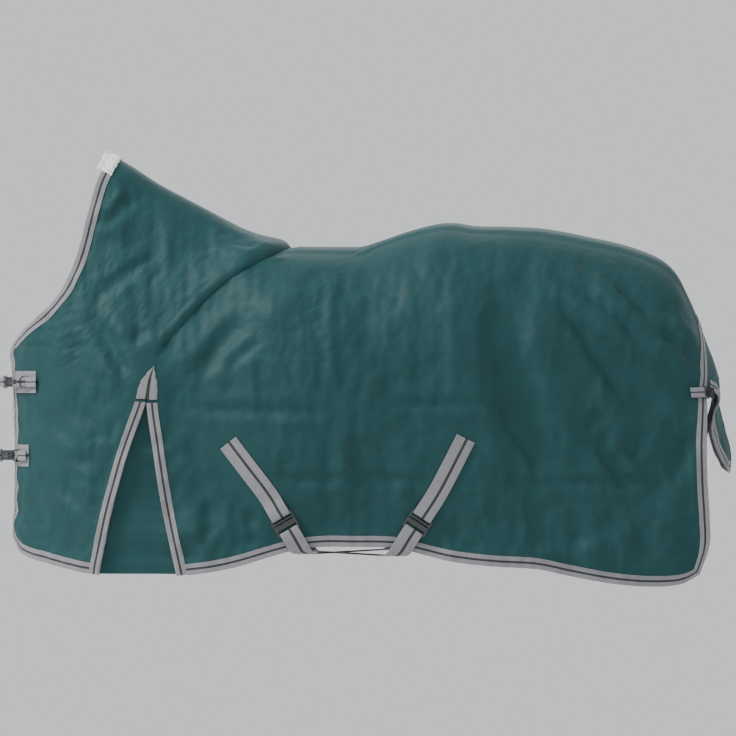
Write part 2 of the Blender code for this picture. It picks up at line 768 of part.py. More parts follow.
def around_bar(frame, start, centre, radius, turn, steps=4):
    """Half a turn round a bar lying along the frame's Y axis, as (place, thickness direction)."""
    path = []
    for k in range(steps + 1):
        a = start + turn * k / steps
        out = Vector((math.cos(a), 0, math.sin(a)))
        path.append((local(frame, *(Vector(centre) + out * radius)), frame.to_3x3() @ out))
    return path


BAR_TURN = 0.0041  # from a bar's middle to the middle of the webbing folded round it


def anchor_webbing(name, route, frame, flip):
    """Webbing sewn flat on the shell, folded round the plate's bar and back under itself."""
    lift = ANCHOR_LIFT + WEBBING / 2
    path = [(place + up * lift, up) for place, up in route[:-1]]
    back = local(frame, -UNDERLAP, 0, BAR_TURN * 0.55)
    up = frame.to_3x3() @ Vector((0, 0, 1))
    path.append((back, up))
    path += around_bar(frame, math.pi / 2, (0, 0, 0), BAR_TURN, -math.pi)
    path.append((local(frame, -UNDERLAP * 0.7, 0, -BAR_TURN * 0.75), -up))
    if flip:
        path = [(Vector((p.x, -p.y, p.z)), Vector((u.x, -u.y, u.z))) for p, u in path]
    return swept(name, path, strap_section(SURCINGLE_WIDTH), GREY)


def plate_marks(*steps):
    marks = [-PLATE_BAR / 2]
    for step in steps:
        marks.append(marks[-1] + step)
    return marks


def slot_plate(name, frame):
    """Metal plate: a bar for the anchor's webbing and a window that takes the hook."""
    half = SURCINGLE_WIDTH / 2 + FRAME_SPARE / 2
    xs = plate_marks(PLATE_BAR, WINDOW, PLATE_BAR, HOOK_WINDOW, PLATE_BAR)
    ys = [-half - PLATE_BAR, -half, -HOOK_NECK, HOOK_NECK, half, half + PLATE_BAR]
    full = (0, 2, 4)

    def filled(i, j):
        return i in full or j in (0, 4) or (i == 3 and j != 2 and j != 1 and j != 3)

    return plate(name, frame, xs, ys, filled, -PLATE_THICK / 2, PLATE_THICK / 2)


HOOK_NECK = 0.011  # half width of the hook's neck
HOOK_CROSS = 0.020  # half width of its crossbar
HOOK_SLOT = 0.012  # height of its window for the belly strap


def strap_hook(name, frame):
    """T-hook: a frame for the belly strap, a neck through the plate's window, a crossbar behind."""
    half = SURCINGLE_WIDTH / 2 + FRAME_SPARE / 2
    gap = METAL_GAP
    over = PLATE_THICK / 2 + gap
    window = 1.5 * PLATE_BAR + WINDOW
    neck = (window + HOOK_WINDOW * 0.35, window + HOOK_WINDOW * 0.75)
    slot = neck[1] + PLATE_BAR
    xs = [neck[0] - gap, slot, slot + HOOK_SLOT, slot + HOOK_SLOT + PLATE_BAR]
    ys = [-half - PLATE_BAR, -half, half, half + PLATE_BAR]
    low = -over - PLATE_THICK
    ring = plate(name, frame, xs, ys, lambda i, j: i != 1 or j != 1, over, over + PLATE_THICK)
    stem = box("stem", frame, neck, (gap - HOOK_NECK, HOOK_NECK - gap), (low + gap, over + PLATE_THICK / 2))
    cross = box("cross", frame, (neck[0] - gap, neck[1] + gap), (-HOOK_CROSS, HOOK_CROSS), (low, -over))
    return merged(ring, [stem, cross])


def hook_bar(frame):
    """The frame at the middle of the hook's strap bar."""
    window = 1.5 * PLATE_BAR + WINDOW
    reach = window + HOOK_WINDOW * 0.75 + 1.5 * PLATE_BAR + HOOK_SLOT
    return frame @ Matrix.Translation((reach, 0, PLATE_THICK + METAL_GAP))


def far_ring(name, frame):
    """Two-window metal loop that joins the far side's anchor to the strap."""
    half = SURCINGLE_WIDTH / 2 + FRAME_SPARE / 2
    xs = plate_marks(PLATE_BAR, WINDOW, PLATE_BAR, WINDOW, PLATE_BAR)
    ys = [-half - PLATE_BAR, -half, half, half + PLATE_BAR]
    half = PLATE_THICK / 2
    return plate(name, frame, xs, ys, lambda i, j: i in (0, 2, 4) or j != 1, -half, half)


def ring_bar(frame):
    return frame @ Matrix.Translation((2 * (PLATE_BAR + WINDOW), 0, 0))


HEM_CLEARANCE = 0.0068  # from the edge of the cloth to the middle of a strap passing round it
CROSSING = 0.0050  # height between the two straps where they cross
FOLD_BACK = 0.026  # length of strap folded back past a bar


HEMLINE = dense(curve(drawn(HEM_BODY)), 60)


def strap_end(frame, radius):
    """Stations of a belly strap from its folded end to the underside of the hem.

    A station is (place, half-width vector, thickness direction). Over the hem the strap bends
    along the hem's own line, so its half width is taken along the horse.
    """
    axes = frame.to_3x3()
    run, side, up = (axes @ Vector(v) for v in ((1, 0, 0), (0, 1, 0), (0, 0, 1)))
    half = SURCINGLE_WIDTH / 2
    stations = [(local(frame, FOLD_BACK, 0, -BAR_TURN * 0.7), side * half, -up)]
    for place, out in around_bar(frame, -math.pi / 2, (0, 0, 0), BAR_TURN, -math.pi):
        stations.append((place, side * half, out))
    stations.append((local(frame, FOLD_BACK * 0.6, 0, BAR_TURN), side * half, up))
    start = stations[-1][0]
    hem = height_over(HEMLINE, start.x)
    x = start.x + run.x / run.z * (hem - start.z)
    hem = min(height_over(HEMLINE, x + half * share / run.z) for share in (-1.0, 0.0, 1.0))
    outward = 1 if up.y > 0 else -1
    edge = half_width(x, hem) + radius
    slant = Vector((1, 0, 0)) * half / math.sqrt(1 - run.x**2)
    top = Vector((x, outward * edge, hem))
    lean = (start - top).normalized()
    flat = lean.cross(Vector((1, 0, 0))).normalized()
    flat = flat if flat.y * outward > 0 else -flat
    stations.append((start.lerp(top, 0.5), (side * half).lerp(slant, 0.5), (flat + up).normalized()))
    for k in range(5):
        a = math.pi / 2 * k / 4
        place = Vector((x + 0.004 * k * (1 if run.x > 0 else -1), 0, hem - radius * math.sin(a)))
        place.y = outward * (half_width(x, hem) + radius * math.cos(a))
        stations.append((place, slant, Vector((0, outward * math.cos(a), -math.sin(a)))))
    return stations


def belly_strap(name, near, far, radius):
    one, two = strap_end(near, radius), strap_end(far, radius)
    stations = list(one)
    for k in range(1, 6):
        share = k / 6
        stations.append((one[-1][0].lerp(two[-1][0], share), one[-1][1], Vector((0, 0, -1))))
    stations += reversed(two)
    thick = WEBBING / 2
    rings = []
    for place, half, up in stations:
        rings.append([place - half - up * thick, place + half - up * thick,
                      place + half + up * thick, place - half + up * thick])
    return lofted(name, rings, GREY)


def make_surcingles():
    anchors = {"front": FRONT_ANCHOR, "rear": REAR_ANCHOR}
    bars = {}
    for place, points in anchors.items():
        route = anchor_route(points)
        near = anchor_end(route)
        far = turned_over(near)
        anchor_webbing(f"left_{place}_surcingle_anchor", route, near, False)
        anchor_webbing(f"right_{place}_surcingle_anchor", route, near, True)
        slot_plate(f"{place}_surcingle_slot_plate", near)
        strap_hook(f"{place}_surcingle_hook", near)
        far_ring(f"{place}_surcingle_loop", far)
        bars[place] = (hook_bar(near), ring_bar(far))
    belly_strap("front_belly_strap", bars["front"][0], bars["rear"][1], HEM_CLEARANCE)
    belly_strap("rear_belly_strap", bars["rear"][0], bars["front"][1], HEM_CLEARANCE + CROSSING)


# ---- chest closings ---------------------------------------------------------------------------------
def round_chest(z):
    """The left chest at one height: the outer face by length from the closing edge."""
    front = height_over(CLOSING, z)
    return [on_left(front + CHEST_ROUNDING * (k / 160) ** 2, z) for k in range(161)]


def chest_frame(line, length, lift):
    """A frame on the chest: X forward round the chest, Z outward and Y up or down."""
    before, place, after = at_lengths(line, [length - 0.004, length, length + 0.004])
    run = (before - after).normalized()
    up = Vector((run.y, -run.x, 0))
    up = up if up.x < 0 or up.y < 0 else -up
    frame = frame_of(place, run, up)
    return frame @ Matrix.Translation((0, 0, lift))


RING_WIRE = 0.0018
RING_REACH = 0.021  # from the middle of a D-ring's bar to the middle of its bow
RING_TILT = math.radians(30)
HOOK_LEAN = math.radians(4)
TAB_LENGTH = 0.034
LOOP_TURN = RING_WIRE + METAL_GAP + WEBBING / 2 + 0.0004  # webbing folded round a wire
STRAP_LIFT = 0.0007

BARREL = 0.0052
BOLT = 0.0024
PIN = 0.0018
PIN_HEAD = 0.0034
SNAP_WIRE = 0.0025
SNAP_REACH = 0.0685  # from the swivel's bar to the wire held in the eye
SNAP_RISE = 0.0050  # from the bolt's axis to that wire
BARREL_FROM, BARREL_TO = 0.0170, 0.0450
CAVITY_FROM, CAVITY_TO = 0.0200, 0.0236
BOLT_FROM, BOLT_TO = 0.0362, 0.0668
STUD = 0.0012  # half width of the bolt's thumb stud
STUD_AT = 0.0398
BOLT_STROKE = 0.0115


def chest_patch(name, line, start, end, flip):
    """Flat webbing patch from one length along the chest line to another."""
    path = []
    for k in range(7):
        frame = chest_frame(line, start + (end - start) * k / 6, WEBBING_GAP + STRAP_LIFT + WEBBING / 2)
        path.append((local(frame, 0, 0, 0), frame.to_3x3() @ Vector((0, 0, 1))))
    if flip:
        path = [(Vector((p.x, -p.y, p.z)), Vector((u.x, -u.y, u.z))) for p, u in path]
    return swept(name, path, strap_section(PATCH_WIDTH), GREY)


def d_ring(name, frame):
    """A wire D: its straight bar along Y at the frame's origin, its bow at RING_REACH."""
    half = STRAP_WIDTH / 2 + METAL_GAP + RING_WIRE
    points = [(0, -half, 0), (0, half, 0)]
    for k in range(7):
        a = math.pi / 2 - math.pi * k / 6
        points.append((RING_REACH * (0.45 + 0.55 * math.cos(a)), half * math.sin(a), 0))
    up = frame.to_3x3() @ Vector((0, 0, 1))
    return swept(name, [(local(frame, *p), up) for p in points], round_section(RING_WIRE), METAL, True,
                 metallic=0.9, rough=0.38, smooth=True)


def ring_tab(name, frame):
    """Webbing folded round the ring's bar, both layers running back along -X."""
    up = frame.to_3x3() @ Vector((0, 0, 1))
    path = [(local(frame, -TAB_LENGTH, 0, -LOOP_TURN + WEBBING + WEBBING_GAP), up)]
    path.append((local(frame, -TAB_LENGTH * 0.4, 0, LOOP_TURN * 0.6), up))
    path += around_bar(frame, math.pi / 2, (0, 0, 0), LOOP_TURN, -math.pi)
    path.append((local(frame, -TAB_LENGTH * 0.8, 0, -LOOP_TURN), -up))
    return swept(name, path, strap_section(STRAP_WIDTH), GREY)


def snap_swivel(name, frame):
    """Loop for the strap, with a headed stem that turns in the barrel; its bar lies along Y."""
    half = STRAP_WIDTH / 2 + METAL_GAP + RING_WIRE
    loop = [(0, -half), (0, half), (0.010, half)]
    loop += [(0.014, half * 0.35), (0.014, -half * 0.35), (0.010, -half)]
    up = frame.to_3x3() @ Vector((0, 0, 1))
    path = [(local(frame, x, y, 0), up) for x, y in loop]
    ring = swept(name, path, round_section(RING_WIRE), METAL, True, metallic=0.9, rough=0.38)
    low, high = CAVITY_FROM + METAL_GAP, CAVITY_TO - METAL_GAP
    stem = turned_piece("stem", frame, [(0.0138, PIN), (low, PIN), (low, PIN_HEAD), (high, PIN_HEAD)])
    return merged(ring, [stem])


def snap_hook(name, frame):
    """Barrel bored for the bolt and the swivel, with a hook that curves round to the bolt's end."""
    hole, cavity, bore = PIN + METAL_GAP, PIN_HEAD + METAL_GAP, BOLT + METAL_GAP
    barrel = turned_piece(name, frame, [
        (BARREL_FROM, hole), (BARREL_FROM, BARREL), (BARREL_TO, BARREL), (BARREL_TO, bore),
        (CAVITY_TO, bore), (CAVITY_TO, cavity), (CAVITY_FROM, cavity), (CAVITY_FROM, hole),
    ], hollow=True)
    middle = (BARREL + bore) / 2
    arc = [(0.0385, middle), (0.046, 0.0075), (0.053, 0.0118), (0.060, 0.0138), (0.067, 0.0128),
           (0.0722, 0.0090),
           (0.0738, 0.0042), (0.0722, 0.0009), (BOLT_TO + METAL_GAP, 0.0)]
    places = [(local(frame, x, 0, z), frame.to_3x3() @ Vector((0, 1, 0))) for x, z in arc]
    hook = swept("hook", places, round_section(SNAP_WIRE), METAL)
    back, fore = STUD_AT - BOLT_STROKE - STUD - METAL_GAP, STUD_AT + STUD + METAL_GAP
    slot = box("slot", frame, (back, fore), (0, 2 * BARREL), (-STUD - METAL_GAP, STUD + METAL_GAP))
    way = turned_piece("way", frame, [(CAVITY_TO - METAL_GAP, bore), (BOLT_TO, bore)])
    return merged(merged(barrel, [hook]), [slot, way], "DIFFERENCE")


def snap_bolt(name, frame):
    """The sliding bolt that shuts the hook's eye, with its thumb stud out through the slot."""
    bolt = turned_piece(name, frame, [(BOLT_FROM, BOLT), (BOLT_TO, BOLT)])
    stud = box("stud", frame, (STUD_AT - STUD, STUD_AT + STUD), (0, BARREL * 1.6), (-STUD, STUD))
    return merged(bolt, [stud])


def chest_strap(name, frame, line, landing, end):
    """Webbing looped on the swivel, then laid round the right chest and sewn down."""
    up = frame.to_3x3() @ Vector((0, 0, 1))
    path = [(local(frame, -0.026, 0, -LOOP_TURN * 0.5), -up)]
    path += around_bar(frame, -math.pi / 2, (0, 0, 0), LOOP_TURN, math.pi)
    knots = [local(frame, -0.006, 0, LOOP_TURN), local(frame, -0.018, 0, LOOP_TURN)]
    for k in range(4):
        on = chest_frame(line, landing + (end - landing) * k / 3, WEBBING_GAP + STRAP_LIFT + WEBBING / 2)
        knots.append(Vector((on.translation.x, -on.translation.y, on.translation.z)))
    at = curve(knots)
    for k in range(15):
        run = at(min(k / 14 + 0.01, 1)) - at(max(k / 14 - 0.01, 0))
        path.append((at(k / 14), Vector((-run.y, run.x, 0)).normalized()))
    return swept(name, path, strap_section(STRAP_WIDTH), GREY)


UPPER_CLOSING = {"height": -40.1, "patch": (0.029, 0.125), "ring": 0.098, "landing": (0.070, 0.150)}
LOWER_CLOSING = {"height": -61.9, "patch": (0.029, 0.085), "ring": 0.048, "landing": (0.125, 0.185)}


def make_closing(which, height, patch, ring, landing):
    """One chest closing: left patch, tab and D-ring, snap hook with swivel and bolt, right strap."""
    line = round_chest(height / 100 * SIDE_DROP + STACK)
    chest_patch(f"{which}_chest_patch", line, *patch, False)
    on_patch = WEBBING_GAP + STRAP_LIFT + WEBBING
    bar = chest_frame(line, ring, on_patch + WEBBING_GAP + WEBBING / 2 + LOOP_TURN)
    ring_tab(f"{which}_chest_ring_tab", bar)
    tilted = bar @ Matrix.Rotation(-RING_TILT, 4, "Y")
    d_ring(f"{which}_chest_ring", tilted)
    axes = bar.to_3x3() @ Matrix.Rotation(-HOOK_LEAN, 3, "Y")
    back, out = axes @ Vector((-1, 0, 0)), axes @ Vector((0, 0, 1))
    held = local(tilted, RING_REACH, 0, 0)
    hook = frame_of(held - back * SNAP_REACH - out * SNAP_RISE, back, out)
    snap_swivel(f"{which}_snap_swivel", hook)
    pivoted(snap_hook(f"{which}_snap_hook", hook), hook.translation)
    pivoted(snap_bolt(f"{which}_snap_bolt", hook), hook.translation)
    chest_strap(f"{which}_chest_strap", hook, line, *landing)


# ---- tail strap ---------------------------------------------------------------------------------------
TAIL_HEIGHT = -43.4
TAIL_SAG = 0.105
TAIL_RING_AT = -0.018  # the ring bar from the rear edge
TAIL_REACH = 0.016  # between the bars of the square ring
TAIL_LIFT = 0.0020  # keeps the straight tab off the curve of the binding


def square_ring(name, frame):
    half = STRAP_WIDTH / 2 + METAL_GAP + RING_WIRE
    corners = [(0, -half), (0, half), (TAIL_REACH, half), (TAIL_REACH, -half)]
    up = frame.to_3x3() @ Vector((0, 0, 1))
    path = []
    for (x0, y0), (x1, y1) in zip(corners, corners[1:] + corners[:1]):
        path += [(local(frame, x0 + (x1 - x0) * t, y0 + (y1 - y0) * t, 0), up) for t in (0.12, 0.88)]
    return swept(name, path, round_section(RING_WIRE), METAL, True, metallic=0.9, rough=0.38, smooth=True)


def tail_frame():
    """The frame of the left ring's bar, on the body panel's own facet: X rearward, Z outward."""
    height = TAIL_HEIGHT / 100 * SIDE_DROP + STACK
    grid = body_grid()
    row = next(j for j in range(len(grid[-1]) - 1) if grid[-1][j + 1].z <= height)
    inner, edge = [], []
    for column, found in ((grid[-2], inner), (grid[-1], edge)):
        above, below = column[row], column[row + 1]
        found.append(above.lerp(below, (height - above.z) / (below.z - above.z)))
        found.append(below - above)
    run = (edge[0] - inner[0]).normalized()
    out = run.cross(edge[1]).normalized()
    out = out if out.y < 0 else -out
    rise = BINDING_GAP + BINDING + STRAP_LIFT + WEBBING / 2 + LOOP_TURN + TAIL_LIFT
    return frame_of(edge[0] + run * TAIL_RING_AT, run, out) @ Matrix.Translation((0, 0, rise))


def make_tail_strap():
    left = tail_frame()
    ends = []
    for side, frame in (("left", left), ("right", turned_over(left))):
        ring_tab(f"{side}_tail_ring_tab", frame)
        square_ring(f"{side}_tail_ring", frame)
        bar = frame @ Matrix.Translation((TAIL_REACH, 0, 0))
        up = bar.to_3x3() @ Vector((0, 0, 1))
        fold = [(local(bar, 0.020, 0, -LOOP_TURN * 0.7), -up)]
        fold += around_bar(bar, -math.pi / 2, (0, 0, 0), LOOP_TURN, -math.pi)
        fold.append((local(bar, 0.007, 0, LOOP_TURN), up))
        ends.append(fold)
    a, b = ends[0][-1][0], ends[1][-1][0]
    knots = [a]
    sag = ((0.03, 0.004, 0.12), (0.16, 0.0, 0.50), (0.32, -0.003, 0.86), (0.5, -0.003, 1.0))
    for share, back, drop in sag:
        knots.append(a.lerp(b, share) + Vector((back, 0, -TAIL_SAG * drop)))
    knots += [Vector((p.x, -p.y, p.z)) for p in reversed(knots[:-1])]
    at = curve(knots)
    middle = []
    for k in range(1, 28):
        run = at(k / 28 + 0.01) - at(k / 28 - 0.01)
        middle.append((at(k / 28), Vector((run.y, -run.x, 0)).normalized()))
    path = ends[0] + middle + [(p, u) for p, u in reversed(ends[1])]
    return swept("tail_strap", path, strap_section(STRAP_WIDTH), BLACK)


def start_clean():
    for thing in list(bpy.data.objects):
        bpy.data.objects.remove(thing)


start_clean()
FRONT = front_grid()
BODY = body_grid()
make_panels(FRONT, BODY)
make_bindings(FRONT, BODY)
make_fleece(FRONT)
make_gussets(FRONT, BODY)
make_caps(FRONT, BODY)
make_tail_flap(BODY)
make_surcingles()
make_closing("upper", **UPPER_CLOSING)
make_closing("lower", **LOWER_CLOSING)
make_tail_strap()
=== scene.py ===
"""Turnout rug: its cloth, tape, webbing, fleece and fittings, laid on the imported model."""
import json
import math

import bmesh
import bpy
import numpy as np
from mathutils import Matrix, Vector, noise
from mathutils.bvhtree import BVHTree

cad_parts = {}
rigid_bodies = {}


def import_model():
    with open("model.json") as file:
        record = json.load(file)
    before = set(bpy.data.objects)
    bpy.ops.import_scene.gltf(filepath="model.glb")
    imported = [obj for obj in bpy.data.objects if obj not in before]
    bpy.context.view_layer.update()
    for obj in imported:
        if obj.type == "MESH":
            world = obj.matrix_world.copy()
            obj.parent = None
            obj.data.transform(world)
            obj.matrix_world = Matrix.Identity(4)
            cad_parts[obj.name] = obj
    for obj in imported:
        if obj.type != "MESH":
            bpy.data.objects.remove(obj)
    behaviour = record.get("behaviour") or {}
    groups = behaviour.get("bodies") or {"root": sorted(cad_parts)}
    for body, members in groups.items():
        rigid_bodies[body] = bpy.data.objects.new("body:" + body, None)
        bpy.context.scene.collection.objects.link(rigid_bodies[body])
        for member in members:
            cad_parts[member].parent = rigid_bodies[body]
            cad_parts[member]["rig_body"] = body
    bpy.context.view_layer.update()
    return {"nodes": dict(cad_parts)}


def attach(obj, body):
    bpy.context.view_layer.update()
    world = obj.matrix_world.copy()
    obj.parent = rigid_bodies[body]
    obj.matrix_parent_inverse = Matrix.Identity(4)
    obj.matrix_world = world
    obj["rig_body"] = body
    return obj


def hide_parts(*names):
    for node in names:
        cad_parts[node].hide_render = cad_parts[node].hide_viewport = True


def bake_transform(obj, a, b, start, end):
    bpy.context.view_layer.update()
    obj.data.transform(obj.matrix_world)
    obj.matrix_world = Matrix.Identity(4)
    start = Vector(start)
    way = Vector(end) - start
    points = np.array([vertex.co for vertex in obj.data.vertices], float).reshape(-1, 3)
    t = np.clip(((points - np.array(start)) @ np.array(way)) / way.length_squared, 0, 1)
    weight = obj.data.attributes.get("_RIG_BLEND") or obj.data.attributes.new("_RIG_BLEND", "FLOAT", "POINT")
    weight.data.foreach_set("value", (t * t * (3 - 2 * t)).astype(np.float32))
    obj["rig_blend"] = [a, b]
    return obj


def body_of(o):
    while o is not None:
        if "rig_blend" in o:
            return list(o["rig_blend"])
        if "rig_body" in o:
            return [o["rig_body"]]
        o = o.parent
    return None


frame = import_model()

bl_info = {
    "name": "Turnout Rug",
    "version": (1, 0, 0),
    "blender": (4, 5, 0),
    "location": "View3D > Sidebar > Turnout Rug",
    "description": "Makes the cloth, tape, webbing and fittings of a turnout rug",
    "category": "Object",
}

# ---- sizes shared with the model, in metres ------------------------------------------------
RUG_LENGTH, SIDE_DROP = 1.755, 0.8475
BARREL_HALF, RUMP_HALF, CHEST_HALF, NECK_HALF = 0.300, 0.265, 0.240, 0.118
CHEST_ROUNDING, BELLY_TUCK, SPINE_FLAT, CLOSING_HALF_GAP = 0.33, 0.14, 0.020, 0.006
SHELL, LINING, LAYER_GAP, SEAM_GAP = 0.0022, 0.0010, 0.0006, 0.0008
TAPE_WIDTH, TAPE, TAPE_GAP = 0.026, 0.0010, 0.0006
STACK = SHELL + LAYER_GAP + LINING
WEBBING, WEBBING_GAP, METAL_GAP = 0.0016, 0.0006, 0.0005
SURCINGLE, PATCH, STRAP = 0.050, 0.055, 0.025
SLIT_TOP = 0.55

NECK_TOP = ((-32.8, 27.4), (-29.9, 24.0), (-25.9, 18.6), (-21.9, 14.2), (-17.9, 9.8), (-14.0, 5.4),
            (-11.4, 2.8), (-9.2, 1.2), (-7.0, 0.2))
BACK_TOP = ((-7.0, 0.2), (-3.2, 0.0), (-1.5, 0.0), (1.5, 0.0), (3.2, 0.1), (6.0, 1.9), (10.0, 4.7),
            (14.0, 6.8), (16.5, 7.1), (19.5, 6.2), (24.0, 6.0), (28.5, 5.6), (32.0, 4.5), (36.0, 2.8),
            (40.0, 1.0), (43.6, -1.4), (46.2, -4.0), (48.2, -8.0), (49.9, -14.8), (50.9, -19.5),
            (51.6, -23.0))
NECKLINE = ((-32.8, 27.4), (-34.6, 19.6), (-35.8, 10.6), (-37.6, -3.5), (-39.7, -13.0), (-42.5, -19.8),
            (-45.3, -25.0), (-47.2, -29.5), (-47.1, -36.0), (-46.8, -45.4), (-46.6, -60.2),
            (-46.7, -74.9), (-46.7, -86.0))
SEAM = ((-7.0, 0.2), (-11.5, -4.4), (-15.5, -9.6), (-18.8, -15.6), (-21.9, -22.2), (-24.2, -27.6),
        (-25.8, -33.0), (-26.9, -38.6), (-27.4, -44.8))
SLIT_FRONT = ((-27.4, -44.8), (-29.6, -57.8), (-31.8, -72.3), (-33.2, -84.8), (-34.2, -96.8))
SLIT_REAR = ((-27.4, -44.8), (-26.6, -58.0), (-25.4, -74.4), (-24.2, -86.7), (-23.1, -97.0))
HEM_FRONT = ((-46.7, -86.0), (-45.4, -90.8), (-41.9, -93.4), (-37.9, -95.4), (-34.2, -96.8))
HEM_BODY = ((-23.1, -97.0), (-17.9, -95.6), (-14.0, -93.8), (-10.0, -91.3), (-6.0, -89.1), (-2.6, -88.3),
            (2.0, -88.3), (8.0, -88.6), (11.5, -90.4), (16.0, -92.6), (21.9, -94.0), (27.9, -94.8),
            (33.0, -97.0), (39.0, -99.2), (44.4, -100.0), (48.4, -99.3), (51.0, -96.5))
REAR_EDGE = ((51.6, -23.0), (52.0, -29.2), (52.2, -36.6), (52.1, -48.4), (52.0, -60.2), (52.1, -69.0),
             (52.4, -79.4), (52.4, -88.2), (51.0, -96.5))
FRONT_ANCHOR = ((-15.8, -57.9), (-13.2, -65.0), (-10.3, -72.9), (-8.6, -78.6))
REAR_ANCHOR = ((17.8, -56.6), (16.0, -64.0), (13.8, -72.7), (12.0, -78.6))
GIRTH = ((-0.80, CHEST_HALF), (-0.45, CHEST_HALF), (-0.05, BARREL_HALF), (0.25, BARREL_HALF),
         (0.60, RUMP_HALF), (0.92, RUMP_HALF * 0.86))
ROUNDING = ((-0.60, 0.16), (-0.30, 0.18), (-0.12, 0.25), (0.10, 0.34), (0.60, 0.33), (0.92, 0.24))

# ---- folds: kind, height and width in mm, start, end, bow in metres --------------------------
NECK_FOLDS = (
    ("valley", 9, 11, (-0.65, -0.155), (-0.51, -0.365), -0.02),
    ("valley", 5, 9, (-0.485, -0.195), (-0.525, -0.255), 0),
    ("valley", 6, 8, (-0.46, -0.26), (-0.44, -0.325), 0),
    ("step", 5, 12, (-0.53, 0.085), (-0.32, -0.03), 0.01),
    ("valley", 5, 8, (-0.435, 0.005), (-0.64, -0.145), 0),
    ("valley", 4, 8, (-0.63, 0.05), (-0.525, 0.095), 0),
    ("valley", 4, 8, (-0.575, 0.10), (-0.505, 0.12), 0),
    ("ridge", 6, 20, (-0.555, -0.115), (-0.315, -0.095), 0),
    ("valley", 4, 8, (-0.585, -0.25), (-0.53, -0.325), 0),
)
CHEST_FOLDS = (
    ("valley", 5, 10, (-0.73, -0.38), (-0.675, -0.51), 0),
    ("valley", 5, 9, (-0.64, -0.395), (-0.595, -0.50), 0),
    ("valley", 4, 8, (-0.775, -0.51), (-0.59, -0.54), 0),
    ("valley", 4, 9, (-0.705, -0.58), (-0.635, -0.665), 0),
)
SHOULDER_FOLDS = (
    ("valley", 9, 11, (-0.22, -0.165), (-0.375, -0.35), 0.01),
    ("valley", 4, 8, (-0.195, -0.22), (-0.295, -0.315), 0),
    ("ridge", 8, 20, (-0.085, -0.10), (-0.215, -0.195), 0),
    ("step", 5, 16, (0.02, -0.145), (-0.125, -0.235), 0),
    ("valley", 5, 9, (-0.435, -0.405), (-0.31, -0.575), 0),
    ("valley", 4, 8, (-0.41, -0.395), (-0.26, -0.56), 0),
    ("valley", 4, 8, (-0.42, -0.40), (0.015, -0.415), 0),
)
BELLY_FOLDS = (
    ("ridge", 4, 9, (0.0, -0.445), (0.015, -0.695), 0),
    ("ridge", 6, 14, (0.13, -0.445), (0.12, -0.685), -0.04),
    ("valley", 5, 12, (0.045, -0.435), (0.045, -0.635), 0),
    ("ridge", 6, 16, (0.355, -0.485), (0.36, -0.72), 0),
    ("valley", 7, 11, (-0.325, -0.62), (-0.32, -0.735), 0),
    ("valley", 5, 9, (-0.25, -0.65), (-0.135, -0.705), 0),
)
HIP_FOLDS = (
    ("valley", 20, 26, (0.41, -0.055), (0.525, -0.59), 0.035),
    ("ridge", 9, 20, (0.47, -0.10), (0.58, -0.485), 0.02),
    ("valley", 6, 8, (0.51, -0.105), (0.72, -0.45), -0.03),
    ("valley", 7, 9, (0.52, -0.055), (0.79, -0.285), -0.015),
    ("valley", 14, 20, (0.57, -0.18), (0.82, -0.455), -0.01),
    ("ridge", 8, 14, (0.555, -0.075), (0.78, -0.315), 0),
    ("ridge", 6, 10, (0.60, -0.045), (0.775, -0.21), 0), ("valley", 6, 8, (0.64, -0.055), (0.81, -0.20), 0),
    ("valley", 9, 12, (0.435, -0.405), (0.53, -0.58), 0), ("valley", 5, 8, (0.66, -0.405), (0.60, -0.455), 0),
    ("valley", 7, 9, (0.62, -0.46), (0.75, -0.635), 0), ("valley", 5, 8, (0.40, -0.40), (0.465, -0.345), 0),
    ("ridge", 7, 18, (0.625, -0.61), (0.63, -0.80), 0), ("valley", 6, 13, (0.75, -0.65), (0.755, -0.815), 0),
    ("valley", 6, 12, (0.50, -0.61), (0.51, -0.775), 0), ("ridge", 5, 12, (0.81, -0.04), (0.875, -0.16), 0),
)
DART_FOLDS = (
    ("valley", 13, 10, (0.79, -0.20), (0.895, -0.285), 0),
    ("ridge", 8, 9, (0.78, -0.235), (0.875, -0.285), -0.015),
    ("ridge", 9, 11, (0.89, -0.29), (0.82, -0.45), 0.01), ("ridge", 6, 11, (0.82, -0.45), (0.745, -0.43), 0),
    ("valley", 8, 11, (0.75, -0.435), (0.715, -0.54), 0),
    ("valley", 6, 12, (0.855, -0.43), (0.85, -0.615), 0),
)
# The rug was folded flat for packing, which leaves straight creases down and along it.
PACKING_FOLDS = tuple(("ridge", 4, 8, (x, -0.03), (x, -0.40), 0) for x in (-0.02, 0.17, 0.28)) + tuple(
    ("valley", 3, 7, (a, z), (b, z), 0)
    for a, b, z in ((0.10, 0.42, -0.39), (-0.36, 0.40, -0.578), (0.40, 0.88, -0.585)))
FOLDS = NECK_FOLDS + CHEST_FOLDS + SHOULDER_FOLDS + BELLY_FOLDS + HIP_FOLDS + DART_FOLDS + PACKING_FOLDS
# Under the fittings and along the straps the cloth is held flat.
QUIET = (((-0.28, -0.485), (-0.15, -0.665), (-0.07, -0.75)), ((0.315, -0.475), (0.21, -0.665), (0.15, -0.75)),
         ((-0.86, -0.336), (-0.72, -0.336)), ((-0.86, -0.521), (-0.72, -0.521)),
         ((0.86, -0.364), (0.93, -0.364)),
         ((-0.473, -0.30), (-0.485, -0.385)))


# ---- lines ------------------------------------------------------------------------------------
def drawn(points):
    return [(x / 100 * RUG_LENGTH, z / 100 * SIDE_DROP + STACK) for x, z in points]


def run_of(points):
    points = np.asarray(points, float)
    return np.concatenate([[0.0], np.cumsum(np.linalg.norm(np.diff(points, axis=0), axis=1))])


